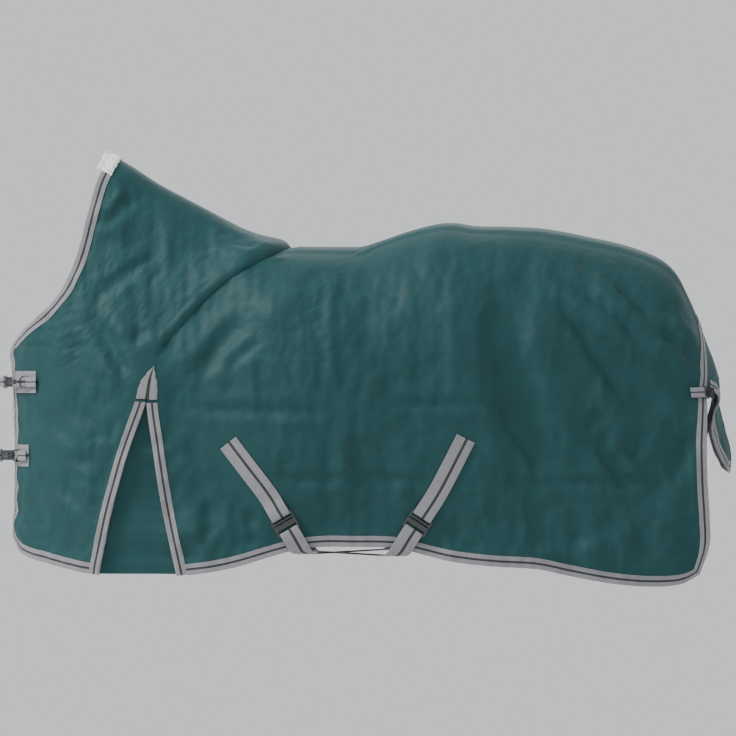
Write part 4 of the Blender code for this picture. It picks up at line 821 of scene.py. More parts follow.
def anchor_path(points):
    flat = curve(drawn(points))(np.linspace(0, 1, 7))
    route = [(vec(*p), vec(*p, 1.0) - vec(*p)) for p in flat]
    (before, _), (place, up) = route[-2:]
    end = frame_of(place, (place - before).normalized(),
                   up) @ Matrix.Translation((WINDOW / 2 + PLATE_BAR, 0, PLATE_LIFT))
    path = [(p + u * (ANCHOR_LIFT + WEBBING / 2), u) for p, u in route[:-1]]
    path.append((local(end, -UNDERLAP, 0, BAR_TURN * 0.55), up_of(end)))
    path += around_bar(end, math.pi / 2, BAR_TURN, -math.pi)
    path.append((local(end, -UNDERLAP * 0.7, 0, -BAR_TURN * 0.75), -up_of(end)))
    return path, end


def strap_end(place, radius):
    axes = place.to_3x3()
    run, side, up = (axes @ Vector(v) for v in ((1, 0, 0), (0, 1, 0), (0, 0, 1)))
    half = SURCINGLE / 2
    stations = [(local(place, FOLD_BACK, 0, -BAR_TURN * 0.7), side * half, -up)]
    stations += [(p, side * half, o) for p, o in around_bar(place, -math.pi / 2, BAR_TURN, -math.pi, 4)]
    stations.append((local(place, FOLD_BACK * 0.6, 0, BAR_TURN), side * half, up))
    start = stations[-1][0]
    hem = float(height_over(HEMLINE, start.x))
    x = start.x + run.x / run.z * (hem - start.z)
    hem = min(float(height_over(HEMLINE, x + half * s / run.z)) for s in (-1.0, 0.0, 1.0))
    outward = 1 if up.y > 0 else -1
    wide = float(half_width(x, hem))
    slant = Vector((1, 0, 0)) * half / math.sqrt(1 - run.x ** 2)
    top = Vector((x, outward * (wide + radius), hem))
    flat = (start - top).normalized().cross(Vector((1, 0, 0))).normalized()
    flat = flat if flat.y * outward > 0 else -flat
    stations.append((start.lerp(top, 0.5), (side * half).lerp(slant, 0.5), (flat + up).normalized()))
    for k in range(5):
        a = math.pi / 2 * k / 4
        spot = Vector((x + 0.004 * k * (1 if run.x > 0 else -1), outward * (wide + radius * math.cos(a)),
                       hem - radius * math.sin(a)))
        stations.append((spot, slant, Vector((0, outward * math.cos(a), -math.sin(a)))))
    return stations


def belly_strap(name, near, far, radius):
    one, two = strap_end(near, radius), strap_end(far, radius)
    middle = [(one[-1][0].lerp(two[-1][0], k / 6), one[-1][1], Vector((0, 0, -1))) for k in range(1, 6)]
    stations = one + middle + two[::-1]
    made = ribbon(name, [(p, u) for p, _, u in stations], SURCINGLE, finish_of("webbing"),
                  [h for _, h, _ in stations])
    settle_piece(made[0], "rug", "grey_webbing", name.replace("_webbing", ""))


def round_chest(z):
    front = float(height_over(CLOSING, z))
    k = np.arange(161) / 160
    return on_left(front + CHEST_ROUNDING * k ** 2, np.full(161, z))


def chest_frame(line, length, lift):
    before, place, after = (Vector(p) for p in resample(line, [length - 0.004, length, length + 0.004]))
    run = (before - after).normalized()
    up = Vector((run.y, -run.x, 0))
    up = up if up.x < 0 or up.y < 0 else -up
    return frame_of(place, run, up) @ Matrix.Translation((0, 0, lift))


def tab_path(place):
    up = up_of(place)
    path = [(local(place, -TAB_LENGTH, 0, -LOOP_TURN + WEBBING + WEBBING_GAP), up)]
    path.append((local(place, -TAB_LENGTH * 0.4, 0, LOOP_TURN * 0.6), up))
    path += around_bar(place, math.pi / 2, LOOP_TURN, -math.pi)
    return path + [(local(place, -TAB_LENGTH * 0.8, 0, -LOOP_TURN), -up)]


def chest_strap_path(hook, line, landing, end):
    path = [(local(hook, -0.026, 0, -LOOP_TURN * 0.5), -up_of(hook))]
    path += around_bar(hook, -math.pi / 2, LOOP_TURN, math.pi)
    knots = [local(hook, -0.006, 0, LOOP_TURN), local(hook, -0.018, 0, LOOP_TURN)]
    for k in range(4):
        on = chest_frame(line, landing + (end - landing) * k / 3,
                         WEBBING_GAP + STRAP_LIFT + WEBBING / 2).translation
        knots.append(Vector((on.x, -on.y, on.z)))
    at = curve(knots)
    for k in range(15):
        run = at(min(k / 14 + 0.01, 1)) - at(max(k / 14 - 0.01, 0))
        path.append((Vector(at(k / 14)), Vector((-run[1], run[0], 0)).normalized()))
    return path


# ---- settings ----------------------------------------------------------------------------------------
def colour_setting(name, text, default):
    return bpy.props.StringProperty(name=name, description=text, default=default)


class RugCloth(bpy.types.PropertyGroup):
    fold_strength: bpy.props.FloatProperty(name="Fold strength", description="How deep the folds are",
                                           default=1.0,
                                           min=0.0, max=1.2, subtype="FACTOR")
    pleat_depth: bpy.props.FloatProperty(name="Pleat depth",
                                         description="How far the gusset falls behind the slit",
                                         default=0.010, min=0.0, max=0.02, subtype="DISTANCE", unit="LENGTH")


class RugTrim(bpy.types.PropertyGroup):
    stitch_pitch: bpy.props.FloatProperty(name="Stitch pitch", description="From one stitch to the next",
                                          default=0.0040,
                                          min=0.002, max=0.01, subtype="DISTANCE", unit="LENGTH")
    stitch_length: bpy.props.FloatProperty(name="Stitch length", description="Length of thread that shows",
                                           default=0.0028,
                                           min=0.001, max=0.008, subtype="DISTANCE", unit="LENGTH")
    curl_size: bpy.props.FloatProperty(name="Curl size", description="Width of one fleece curl",
                                       default=0.0042,
                                       min=0.001, max=0.008, subtype="DISTANCE", unit="LENGTH")
    curl_density: bpy.props.FloatProperty(name="Curls", description="Curls to a square metre",
                                          default=26000.0,
                                          min=0.0, max=40000.0)
    wear_width: bpy.props.FloatProperty(name="Edge wear", description="Rounding of the metal's edges",
                                        default=0.0004,
                                        min=0.0, max=0.001, subtype="DISTANCE", unit="LENGTH")


class RugColours(bpy.types.PropertyGroup):
    cloth: colour_setting("Cloth", "Outer cloth", "#1c4446")
    tape: colour_setting("Tape", "Tape and webbing", "#8a898d")
    stripe: colour_setting("Stripe", "Stripe in tape and webbing", "#303334")
    lining: colour_setting("Lining", "Lining", "#34383d")
    fleece: colour_setting("Fleece", "Neck fleece", "#f8f8f6")
    thread: colour_setting("Thread", "Stitching", "#8f9093")
    metal: colour_setting("Metal", "Snaps, hooks and rings", "#4b4b4c")


# ---- pieces ----------------------------------------------------------------------------------------
SIDES = ("left", "right")


def slit_row(points, column):
    return int(np.argmax(points[column, :, 2] <= SLIT_TOP_Z))


SLIT_TOP_Z = -0.448 * SIDE_DROP + STACK


def make_cloth(side):
    for panel, node in (("front", "front_panel"), ("body", "body_shell")):
        points, normals, uv = cloth(panel, side)
        piece = layered(f"{side}_{node}_cloth", points, points - normals * SHELL, uv, finish_of("ripstop"))
        settle_piece(piece, "rug", "outer_cloth", f"{side}_{node}")
        smooth_panel(panel)


LINING_SLACK = 0.0022  # the lining hangs this much looser than the shell, away from seams and spine


def lining_depth(points, *rims):
    """How far below the outer face the lining hangs, at each point."""
    wide, tall = points.shape[:2]
    i, j = np.arange(wide)[:, None], np.arange(tall)[None]
    inside = np.minimum(np.minimum(i, wide - 1 - i), tall - 1 - j)
    inside = np.minimum(inside, j) if "top" in rims else inside
    loose = ease((inside - 2.0) / 5.0) * ease((np.abs(points[..., 1]) - 0.02) / 0.05)
    return (SHELL + LAYER_GAP + LINING_SLACK * loose)[..., None]


def make_linings():
    for side in SIDES:
        points, normals, uv = (g[::2, ::2] for g in cloth("front", side))
        depth = lining_depth(points)
        piece = layered(f"{side}_front_lining_cloth", points - normals * depth,
                        points - normals * (depth + LINING), uv,
                        finish_of("lining"))
        settle_piece(piece, "rug", "lining_cloth", f"{side}_front_lining")
        smooth_panel("front")[::2, ::2]
    halves = [[g[::2, ::2] for g in cloth("body", side)] for side in SIDES]
    points, normals, uv = (np.concatenate([a[:, ::-1], b], 1) for a, b in zip(*halves))
    depth = lining_depth(points, "top")
    piece = layered("body_lining_cloth", points - normals * depth, points - normals * (depth + LINING), uv,
                    finish_of("lining"))
    settle_piece(piece, "rug", "lining_cloth", "body_lining")
    flat = smooth_panel("body")[::2, ::2]


def make_gusset(side):
    depth = STACK + TAPE_GAP + TAPE + SEAM_GAP + LINING_SLACK
    fall = bpy.context.scene.rug_cloth.pleat_depth
    front, front_out, _ = cloth("front", side)
    body, body_out, _ = cloth("body", side)
    a, b = front[-5], body[4]
    na, nb = front_out[-5], body_out[4]
    shares = np.linspace(0, 1, 90)
    rows = [np.linspace(slit_row(g, c) - 5, g.shape[1] - 1, 90) for g, c in ((front, -1), (body, 0))]
    pick = lambda line, at: np.stack([np.interp(at, np.arange(len(line)), line[:, k]) for k in range(3)], -1)
    a, na, b, nb = pick(a, rows[0]), pick(na, rows[0]), pick(b, rows[1]), pick(nb, rows[1])
    grid = []
    for i in range(25):
        t = i / 24
        n = na * (1 - t) + nb * t
        n /= np.linalg.norm(n, axis=1, keepdims=True)
        deep = depth + fall * math.sin(math.pi * t) ** 2 * (0.3 + 0.7 * shares) * (1 + 0.35 * math.sin(9 * t))
        grid.append(a * (1 - t) + b * t - n * np.asarray(deep)[:, None])
    grid = np.array(grid)
    out = np.array([na * (1 - i / 24) + nb * i / 24 for i in range(25)])
    uv = np.stack(np.meshgrid(np.linspace(0, 0.12, 25), np.linspace(0, 0.45, 90), indexing="ij"), -1)
    piece = layered(f"{side}_gusset_cloth", grid, grid - out * SHELL, uv, finish_of("gusset"))
    settle_piece(piece, "rug", "outer_cloth", f"{side}_shoulder_gusset")


def tape_piece(side, name, panel, cells, **more):
    points, normals, _ = cloth(panel, side)
    rings, uvs = tape_rings(points, normals, cells, **more)
    piece = lofted(f"{side}_{name}_tape", rings, uvs, finish_of("tape"))
    return settle_piece(piece, "rug", "binding_tape", f"{side}_{name}")


def fleece_row(points):
    """The row down to which the fleece runs: a seventh of the neckline."""
    line = points[0, 1:]
    run = run_of(line)
    return int(np.argmax(run >= run[np.argmax(line[:, 2] <= -0.295 * SIDE_DROP + STACK)] / 7)) + 1


def make_tapes(side):
    points = cloth("front", side)[0]
    wide, tall = points.shape[0] - 1, points.shape[1] - 1
    start = fleece_row(points)
    cells = [(i, tall, i, tall - 4) for i in range(wide - 4, 3, -1)]
    cells += [(i, tall, 4, tall - 4) for i in (3, 2, 1, 0)]
    cells += [(0, tall - k, 4, tall - 4) for k in (1, 2, 3)]
    cells += [(0, j, 4, j) for j in range(tall - 4, start - 1, -1)]
    tape_piece(side, "front_binding", "front", cells)
    top = slit_row(points, -1) + 1
    tape_piece(side, "slit_front_binding", "front", [(wide, j, wide - 4, j) for j in range(top, tall + 1)])
    points = cloth("body", side)[0]
    wide, tall = points.shape[0] - 1, points.shape[1] - 1
    cells = [(i, tall, i, tall - 4) for i in range(4, wide - 3)]
    cells += [(i, tall, wide - 4, tall - 4) for i in range(wide - 3, wide + 1)]
    cells += [(wide, tall - k, wide - 4, tall - 4) for k in (1, 2, 3)]
    cells += [(wide, j, wide - 4, j) for j in range(tall - 4, 0, -1)]
    tape_piece(side, "body_binding", "body", cells)
    top = slit_row(points, 0) + 1
    tape_piece(side, "slit_rear_binding", "body", [(0, j, 4, j) for j in range(top, tall + 1)])


def make_cap(side):
    """The pointed cap above the slit, laid on the cloth with its edge turned under."""
    front, front_out, _ = cloth("front", side)
    body, body_out, _ = cloth("body", side)
    row_a, row_b = slit_row(front, -1), slit_row(body, 0)
    rows, shape = 26, ((0, 1.0), (0.25, 1.0), (0.5, 0.82), (0.75, 0.45), (1.0, 0.06))
    run = run_of(front[-1, :row_a + 1][::-1])
    grid, out = [], []
    for s in np.linspace(-1, 1, 13):
        column, up = [], []
        for k in range(rows + 1):
            half = TAPE_WIDTH * float(along(shape, k / rows)) * abs(s)
            step = float(np.interp(SEAM_GAP + 0.085 * k / rows, run, np.arange(len(run))))
            if s <= 0:
                spot = (front.shape[0] - 1 - half / TAPE_WIDTH * 4, row_a - step)
                p, n = sample(front, *spot), sample(front_out, *spot)
            else:
                spot = (half / TAPE_WIDTH * 4, row_b - step)
                p, n = sample(body, *spot), sample(body_out, *spot)
            n = n / np.linalg.norm(n)
            column.append(p)
            up.append(n)
        grid.append(column)
        out.append(up)
    grid, out = np.array(grid), np.array(out)
    edge = np.ones(grid.shape[:2])
    edge[[0, -1]] = 0.5
    high = grid + out * (TAPE_GAP + 2 * TAPE * edge)[..., None]
    run_up = np.linspace(0, 0.085, rows + 1)
    uv = np.stack(np.broadcast_arrays(run_up[None], np.linspace(0, TAPE_WIDTH, 13)[:, None]), -1)
    piece = layered(f"{side}_gusset_cap_tape", high, grid + out * TAPE_GAP, uv, finish_of("tape"))
    settle_piece(piece, "rug", "binding_tape", f"{side}_gusset_cap")
    STITCH_ROWS["rug"].append(list(high[1] + out[1] * 0.0002) + list((high[-2] + out[-2] * 0.0002)[::-1]))


def make_fleece():
    halves = []
    for side in SIDES:
        points, normals, _ = cloth("front", side)
        start = fleece_row(points)
        cells = [(0, j, 4, j) for j in range(start, 0, -1)]
        halves.append(tape_rings(points, normals, cells, puff=(0.0045, 0.013, 0.009)))
    (left, _), (right, _) = halves
    rings = left + right[::-1]
    fine = []
    for a, b in zip(rings, rings[1:]):
        for t in (0.0, 0.5):
            fine.append(a * (1 - t) + b * t)
    fine.append(rings[-1])
    fine = np.array(fine)
    outer = fine.shape[1] // 2 + 1
    middle = fine.mean(1, keepdims=True)
    for i in range(1, len(fine) - 1):
        for k in range(1, outer - 1):
            p = fine[i, k]
            swell = noise.fractal(Vector(p) / 0.012, 0.6, 2.0, 3)
            fine[i, k] = p + (p - middle[i, 0]) / np.linalg.norm(p - middle[i, 0]) * 0.0022 * swell
    flat = np.zeros(fine.shape[:2] + (2,))
    piece = lofted("neck_fleece_pile", fine, flat, finish_of("fleece"))
    settle_piece(piece, "rug", "fleece", "neck_fleece")
    curls = scattered(piece, bpy.context.scene.rug_trim)
    settle_piece(curls, "rug", "fleece")


# ---- what repeats -------------------------------------------------------------------------------------
def node_group(name, *inputs):
    tree = bpy.data.node_groups.new(name, "GeometryNodeTree")
    tree.interface.new_socket("Geometry", in_out="INPUT", socket_type="NodeSocketGeometry")
    for label, kind in inputs:
        tree.interface.new_socket(label, in_out="INPUT", socket_type=kind)
    tree.interface.new_socket("Geometry", in_out="OUTPUT", socket_type="NodeSocketGeometry")
    return tree, add(tree, "NodeGroupInput"), add(tree, "NodeGroupOutput")


def grown(name, source, tree, values):
    """Runs a node tree on a source object and keeps the result as a plain mesh."""
    modifier = source.modifiers.new("repeat", "NODES")
    modifier.node_group = tree
    for socket in tree.interface.items_tree:
        if socket.in_out == "INPUT" and socket.name in values:
            modifier[socket.identifier] = values[socket.name]
    graph = bpy.context.evaluated_depsgraph_get()
    graph.update()
    mesh = bpy.data.meshes.new_from_object(source.evaluated_get(graph))
    source.modifiers.remove(modifier)
    if not mesh.polygons:
        raise RuntimeError(f"{name} came out empty")
    thing = bpy.data.objects.new(name, mesh)
    bpy.context.scene.collection.objects.link(thing)
    return thing


def scattered(surface, trim):
    """Fleece curls over the fleece."""
    tree, given, made = node_group("fleece_curls", ("Density", "NodeSocketFloat"),
                                   ("Size", "NodeSocketFloat"))
    spots = add(tree, "GeometryNodeDistributePointsOnFaces",
                {"Mesh": given.outputs["Geometry"], "Density": given.outputs["Density"], "Seed": 4})
    blob = add(tree, "GeometryNodeMeshIcoSphere", {"Radius": 0.5, "Subdivisions": 2})
    size = add(tree, "FunctionNodeRandomValue", {2: 0.6, 3: 1.2, "Seed": 7}, data_type="FLOAT")
    scale = add(tree, "ShaderNodeMath", {0: given.outputs["Size"], 1: size.outputs[1]}, operation="MULTIPLY")
    on = add(tree, "GeometryNodeInstanceOnPoints", {"Points": spots.outputs["Points"],
                                                    "Instance": blob.outputs["Mesh"],
                                                    "Rotation": spots.outputs["Rotation"],
                                                    "Scale": scale.outputs[0]})
    real = add(tree, "GeometryNodeRealizeInstances", {"Geometry": on.outputs[0]})
    coat = add(tree, "GeometryNodeSetMaterial", {"Geometry": real.outputs[0],
                                                 "Material": finish_of("fleece")})
    tree.links.new(coat.outputs[0], made.inputs["Geometry"])
    return grown("fleece_curls", surface, tree, {"Density": trim.curl_density, "Size": trim.curl_size})


def stitched(body):
    """Stitches along every noted row of one body, as one mesh."""
    tree, given, made = node_group(f"{body}_stitching", ("Pitch", "NodeSocketFloat"),
                                   ("Length", "NodeSocketFloat"))
    spots = add(tree, "GeometryNodeResampleCurve", {"Curve": given.outputs["Geometry"],
                                                    "Length": given.outputs["Pitch"]}, mode="LENGTH")
    tangent = add(tree, "GeometryNodeInputTangent")
    turn = add(tree, "FunctionNodeAlignRotationToVector", {"Vector": tangent.outputs[0]}, axis="X")
    long = add(tree, "ShaderNodeCombineXYZ", {"X": given.outputs["Length"], "Y": 0.0008, "Z": 0.0006})
    bead = add(tree, "GeometryNodeMeshIcoSphere", {"Radius": 0.5, "Subdivisions": 1})
    on = add(tree, "GeometryNodeInstanceOnPoints", {"Points": spots.outputs["Curve"],
                                                    "Instance": bead.outputs["Mesh"],
                                                    "Rotation": turn.outputs["Rotation"],
                                                    "Scale": long.outputs[0]})
    real = add(tree, "GeometryNodeRealizeInstances", {"Geometry": on.outputs[0]})
    coat = add(tree, "GeometryNodeSetMaterial", {"Geometry": real.outputs[0],
                                                 "Material": finish_of("thread")})
    tree.links.new(coat.outputs[0], made.inputs["Geometry"])
    line = bpy.data.curves.new(f"{body}_seams", "CURVE")
    line.dimensions = "3D"
    for row in STITCH_ROWS[body]:
        part = line.splines.new("POLY")
        part.points.add(len(row) - 1)
        part.points.foreach_set("co", np.hstack([np.array(row), np.ones((len(row), 1))]).ravel())
    source = bpy.data.objects.new(f"{body}_seams", line)
    bpy.context.scene.collection.objects.link(source)
    trim = bpy.context.scene.rug_trim
    thing = grown(f"{body}_stitches", source, tree, {"Pitch": trim.stitch_pitch,
                                                     "Length": trim.stitch_length})
    bpy.data.objects.remove(source)
    return thing


# ---- tail flap -------------------------------------------------------------------------------------
FLAP_CENTRE = ((53.0, -32.4), (53.6, -36.9), (54.2, -44.2), (55.1, -53.1), (55.9, -58.6), (56.3, -63.1),
               (56.0, -67.0))
FLAP_SIDE = ((54.2, -45.0, 0.150), (53.2, -51.3, 0.122), (53.6, -58.7, 0.096), (55.2, -65.5, 0.062))


def flap_half():
    """The left half of the flap's outer face, as [across from the centre][down]."""
    edge = smooth_panel("body")[-1, 1:]
    inner = smooth_panel("body")[-5, 1:]
    stop = curve(drawn(REAR_EDGE))(np.array([SLIT_TOP]))[0, 1]
    run = run_of(edge)
    cut = run[np.argmax(edge[:, 2] <= stop)] * 4 / 7
    away = (edge - inner) / np.linalg.norm(edge - inner, axis=1, keepdims=True)
    seam = resample(edge + away * (TAPE_GAP + TAPE + 0.0014), np.linspace(0, cut, 60))
    seam[0, 1] = 0
    centre = np.vstack([seam[:1], [(p[0], 0, p[1]) for p in drawn(FLAP_CENTRE)]])
    outline = drawn([(x, z) for x, z, _ in FLAP_SIDE])
    side = np.vstack([seam[-1:], [(p[0], -w, p[1]) for p, (_, _, w) in zip(outline, FLAP_SIDE)]])
    bottom = np.array([centre[-1], (centre[-1] + side[-1]) / 2, side[-1]])
    u, v = np.linspace(0, 1, 60), np.linspace(0, 1, 60)
    flat = between(curve(seam), curve(bottom), curve(centre), curve(side), u, v)
    rows = np.array([resample(line, marks_over(run_of(line)[-1], False, True, 40)) for line in flat])
    return np.array([resample(rows[:, i], marks_over(run_of(rows[:, i])[-1], False, True, 56))
                     for i in range(rows.shape[1])])


def make_tail_flap():
    half = flap_half()
    whole = np.concatenate([half[::-1], half[1:] * (1, -1, 1)], 0)
    normals = normals_of(whole)
    if normals[len(whole) // 2, 20, 0] < 0:
        normals = -normals
    z = whole[..., 2]
    free = ease((z.max() - z) / 0.12) * ease(np.arange(whole.shape[1]) / 14)[None]
    wave = 0.0035 * soft_noise(whole[..., 1], z, 0.07, 0.16, 5.0)
    wave = wave + 0.0012 * soft_noise(whole[..., 1], z, 0.02, 0.03, 8.0)
    whole = whole + normals * (wave * free)[..., None]
    normals = normals_of(whole) * (1 if (normals_of(whole) * normals).sum() > 0 else -1)
    across = np.cumsum(np.linalg.norm(np.diff(whole, axis=0, prepend=whole[:1]), axis=-1), 0)
    down = np.cumsum(np.linalg.norm(np.diff(whole, axis=1, prepend=whole[:, :1]), axis=-1), 1)
    uv = np.stack([across, down], -1)
    flap = layered("tail_flap_cloth", whole, whole - normals * SHELL, uv, finish_of("ripstop"))
    wide, tall = whole.shape[0] - 1, whole.shape[1] - 1
    cells = [(0, j, 4, j) for j in range(2, tall - 3)] + [(0, tall - k, 4, tall - 4) for k in (3, 2, 1, 0)]
    cells += [(i, tall, 4, tall - 4) for i in (1, 2, 3)]
    cells += [(i, tall, i, tall - 4) for i in range(4, wide - 3)]
    cells += [(i, tall, wide - 4, tall - 4) for i in range(wide - 3, wide + 1)]
    cells += [(wide, tall - k, wide - 4, tall - 4) for k in (1, 2, 3)]
    cells += [(wide, j, wide - 4, j) for j in range(tall - 4, 1, -1)]
    rings, uvs = tape_rings(whole, normals, cells, stack=SHELL, body="tail_flap")
    tape = lofted("tail_flap_binding_tape", rings, uvs, finish_of("tape"))
    stitches = stitched("tail_flap")
    for piece, slot, nodes in ((flap, "outer_cloth", ["tail_flap"]),
                               (tape, "binding_tape", ["tail_flap_binding"]),
                               (stitches, "binding_tape", [])):
        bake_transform(piece, "rug", "tail_flap", (0.9067, 0, -0.194), (0.9067, 0, -0.294))
        if nodes:
            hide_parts(*nodes)


# ---- straps and fittings ----------------------------------------------------------------------------
def make_anchors():
    for place, points in (("front", FRONT_ANCHOR), ("rear", REAR_ANCHOR)):
        path, _ = anchor_path(points)
        for side in SIDES:
            made = ribbon(f"{side}_{place}_anchor_webbing", path if side == "left" else right_of(path),
                          SURCINGLE, finish_of("webbing"))
            settle_piece(made[0], "rug", "grey_webbing", f"{side}_{place}_surcingle_anchor")
            sewn_box(*made[1:], 0.02, 0.22)
            sewn_box(*made[1:], 0.50, 0.60, False)


def make_belly_straps():
    bars = {}
    reach = 1.5 * PLATE_BAR + WINDOW + HOOK_WINDOW * 0.75 + 1.5 * PLATE_BAR + HOOK_SLOT
    for place, points in (("front", FRONT_ANCHOR), ("rear", REAR_ANCHOR)):
        _, near = anchor_path(points)
        bars[place] = (near @ Matrix.Translation((reach, 0, PLATE_THICK + METAL_GAP)),
                       turned_over(near) @ Matrix.Translation((2 * (PLATE_BAR + WINDOW), 0, 0)))
    belly_strap("front_belly_strap_webbing", bars["front"][0], bars["rear"][1], HEM_CLEARANCE)
    belly_strap("rear_belly_strap_webbing", bars["rear"][0], bars["front"][1], HEM_CLEARANCE + CROSSING)


def turned_over(place):
    """The right side's frame, mirrored from the left side's."""
    return Matrix.Diagonal((1, -1, 1, 1)) @ place


CLOSINGS = {"upper": (-40.1, (0.029, 0.125), 0.098, (0.070, 0.150)),
            "lower": (-61.9, (0.029, 0.085), 0.048, (0.125, 0.185))}


def make_closing(which):
    height, patch, ring, landing = CLOSINGS[which]
    line = round_chest(height / 100 * SIDE_DROP + STACK)
    spots = [chest_frame(line, patch[0] + (patch[1] - patch[0]) * k / 12,
                         WEBBING_GAP + STRAP_LIFT + WEBBING / 2) for k in range(13)]
    made = ribbon(f"{which}_chest_patch_webbing", [(p.translation, up_of(p)) for p in spots], PATCH,
                  finish_of("webbing"))
    settle_piece(made[0], "rug", "grey_webbing", f"{which}_chest_patch")
    sewn_box(*made[1:], 0.05, 0.95)
    bar = chest_frame(line, ring, WEBBING_GAP + STRAP_LIFT + WEBBING + WEBBING_GAP + WEBBING / 2 + LOOP_TURN)
    made = ribbon(f"{which}_ring_tab_webbing", tab_path(bar), STRAP, finish_of("strap"), step=0.0015)
    settle_piece(made[0], "rug", "grey_webbing", f"{which}_chest_ring_tab")
    sewn_box(*made[1:], 0.04, 0.22)
    tilted = bar @ Matrix.Rotation(-RING_TILT, 4, "Y")
    axes = bar.to_3x3() @ Matrix.Rotation(-HOOK_LEAN, 3, "Y")
    back, out = axes @ Vector((-1, 0, 0)), axes @ Vector((0, 0, 1))
    hook = frame_of(local(tilted, RING_REACH, 0, 0) - back * SNAP_REACH - out * SNAP_RISE, back, out)
    made = ribbon(f"{which}_chest_strap_webbing", chest_strap_path(hook, line, *landing), STRAP,
                  finish_of("strap"), step=0.002)
    settle_piece(made[0], "rug", "grey_webbing", f"{which}_chest_strap")
    sewn_box(*made[1:], 0.62, 0.97)


def tail_frame():
    """The frame of the left tail ring's bar: X rearward, Z outward."""
    node = frame["nodes"]["left_tail_ring"].data
    places = np.array([tuple(v.co) for v in node.vertices]).round(6)
    places = np.unique(places, axis=0)
    centre = (places.min(0) + places.max(0)) / 2
    _, axes = np.linalg.eigh(np.cov((places - places.mean(0)).T))
    out = Vector(axes[:, 0])
    out = out if out.y < 0 else -out
    run = Vector(axes[:, 1])
    run = run if run.x > 0 else -run
    made = frame_of(Vector(centre), run, out)
    return made @ Matrix.Translation((-TAIL_REACH / 2, 0, 0))


def make_tail_strap():
    left = tail_frame()
    ends = []
    for side, place in (("left", left), ("right", turned_over(left))):
        made = ribbon(f"{side}_tail_tab_webbing", tab_path(place), STRAP, finish_of("strap"), step=0.0015)
        settle_piece(made[0], "rug", "grey_webbing", f"{side}_tail_ring_tab")
        bar = place @ Matrix.Translation((TAIL_REACH, 0, 0))
        fold = [(local(bar, 0.020, 0, -LOOP_TURN * 0.7), -up_of(bar))]
        fold += around_bar(bar, -math.pi / 2, LOOP_TURN, -math.pi)
        ends.append(fold + [(local(bar, 0.007, 0, LOOP_TURN), up_of(bar))])
    a, b = ends[0][-1][0], ends[1][-1][0]
    knots = [a]
    for share, back, drop in ((0.03, 0.004, 0.12), (0.16, 0.0, 0.50), (0.32, -0.003, 0.86),
                              (0.5, -0.003, 1.0)):
        knots.append(a.lerp(b, share) + Vector((back, 0, -TAIL_SAG * drop)))
    at = curve(knots + [Vector((p.x, -p.y, p.z)) for p in reversed(knots[:-1])])
    middle = []
    for k in range(1, 28):
        run = at(k / 28 + 0.01) - at(k / 28 - 0.01)
        middle.append((Vector(at(k / 28)), Vector((run[1], -run[0], 0)).normalized()))
    made = ribbon("tail_strap_webbing", ends[0] + middle + [(p, u) for p, u in reversed(ends[1])], STRAP,
                  finish_of("black"), step=0.002)
    settle_piece(made[0], "rug", "black_webbing", "tail_strap")


METAL_NODES = ["front_surcingle_slot_plate", "front_surcingle_hook", "front_surcingle_loop",
               "rear_surcingle_slot_plate",
               "rear_surcingle_hook", "rear_surcingle_loop", "left_tail_ring", "right_tail_ring"]
METAL_NODES += [f"{w}_{part}" for w in ("upper", "lower")
                for part in ("chest_ring", "snap_swivel", "snap_hook", "snap_bolt")]


def make_fittings():
    """The metal pieces, with their edges rounded as a tumbled casting's are."""
    for node in METAL_NODES:
        source = frame["nodes"][node]
        work = bmesh.new()
        work.from_mesh(source.data)
        work.transform(source.matrix_world)
        bmesh.ops.remove_doubles(work, verts=work.verts, dist=1e-6)
        bmesh.ops.dissolve_limit(work, angle_limit=math.radians(2), verts=work.verts, edges=work.edges)
        sharp = [e for e in work.edges if e.is_manifold and e.calc_face_angle() > math.radians(38)]
        width = bpy.context.scene.rug_trim.wear_width
        bmesh.ops.bevel(work, geom=sharp, offset=width, offset_type="OFFSET", segments=2, profile=0.6,
                        affect="EDGES", clamp_overlap=True)
        bmesh.ops.triangulate(work, faces=work.faces)
        bmesh.ops.recalc_face_normals(work, faces=work.faces)
        mesh = bpy.data.meshes.new(f"{node}_metal")
        work.to_mesh(mesh)
        work.free()
        mesh.polygons.foreach_set("use_smooth", [True] * len(mesh.polygons))
        mesh.set_sharp_from_angle(angle=math.radians(48))
        mesh.materials.append(finish_of("metal"))
        piece = bpy.data.objects.new(mesh.name, mesh)
        bpy.context.scene.collection.objects.link(piece)
        body = body_of(source)[0]
        settle_piece(piece, body, "dark_metal", node)


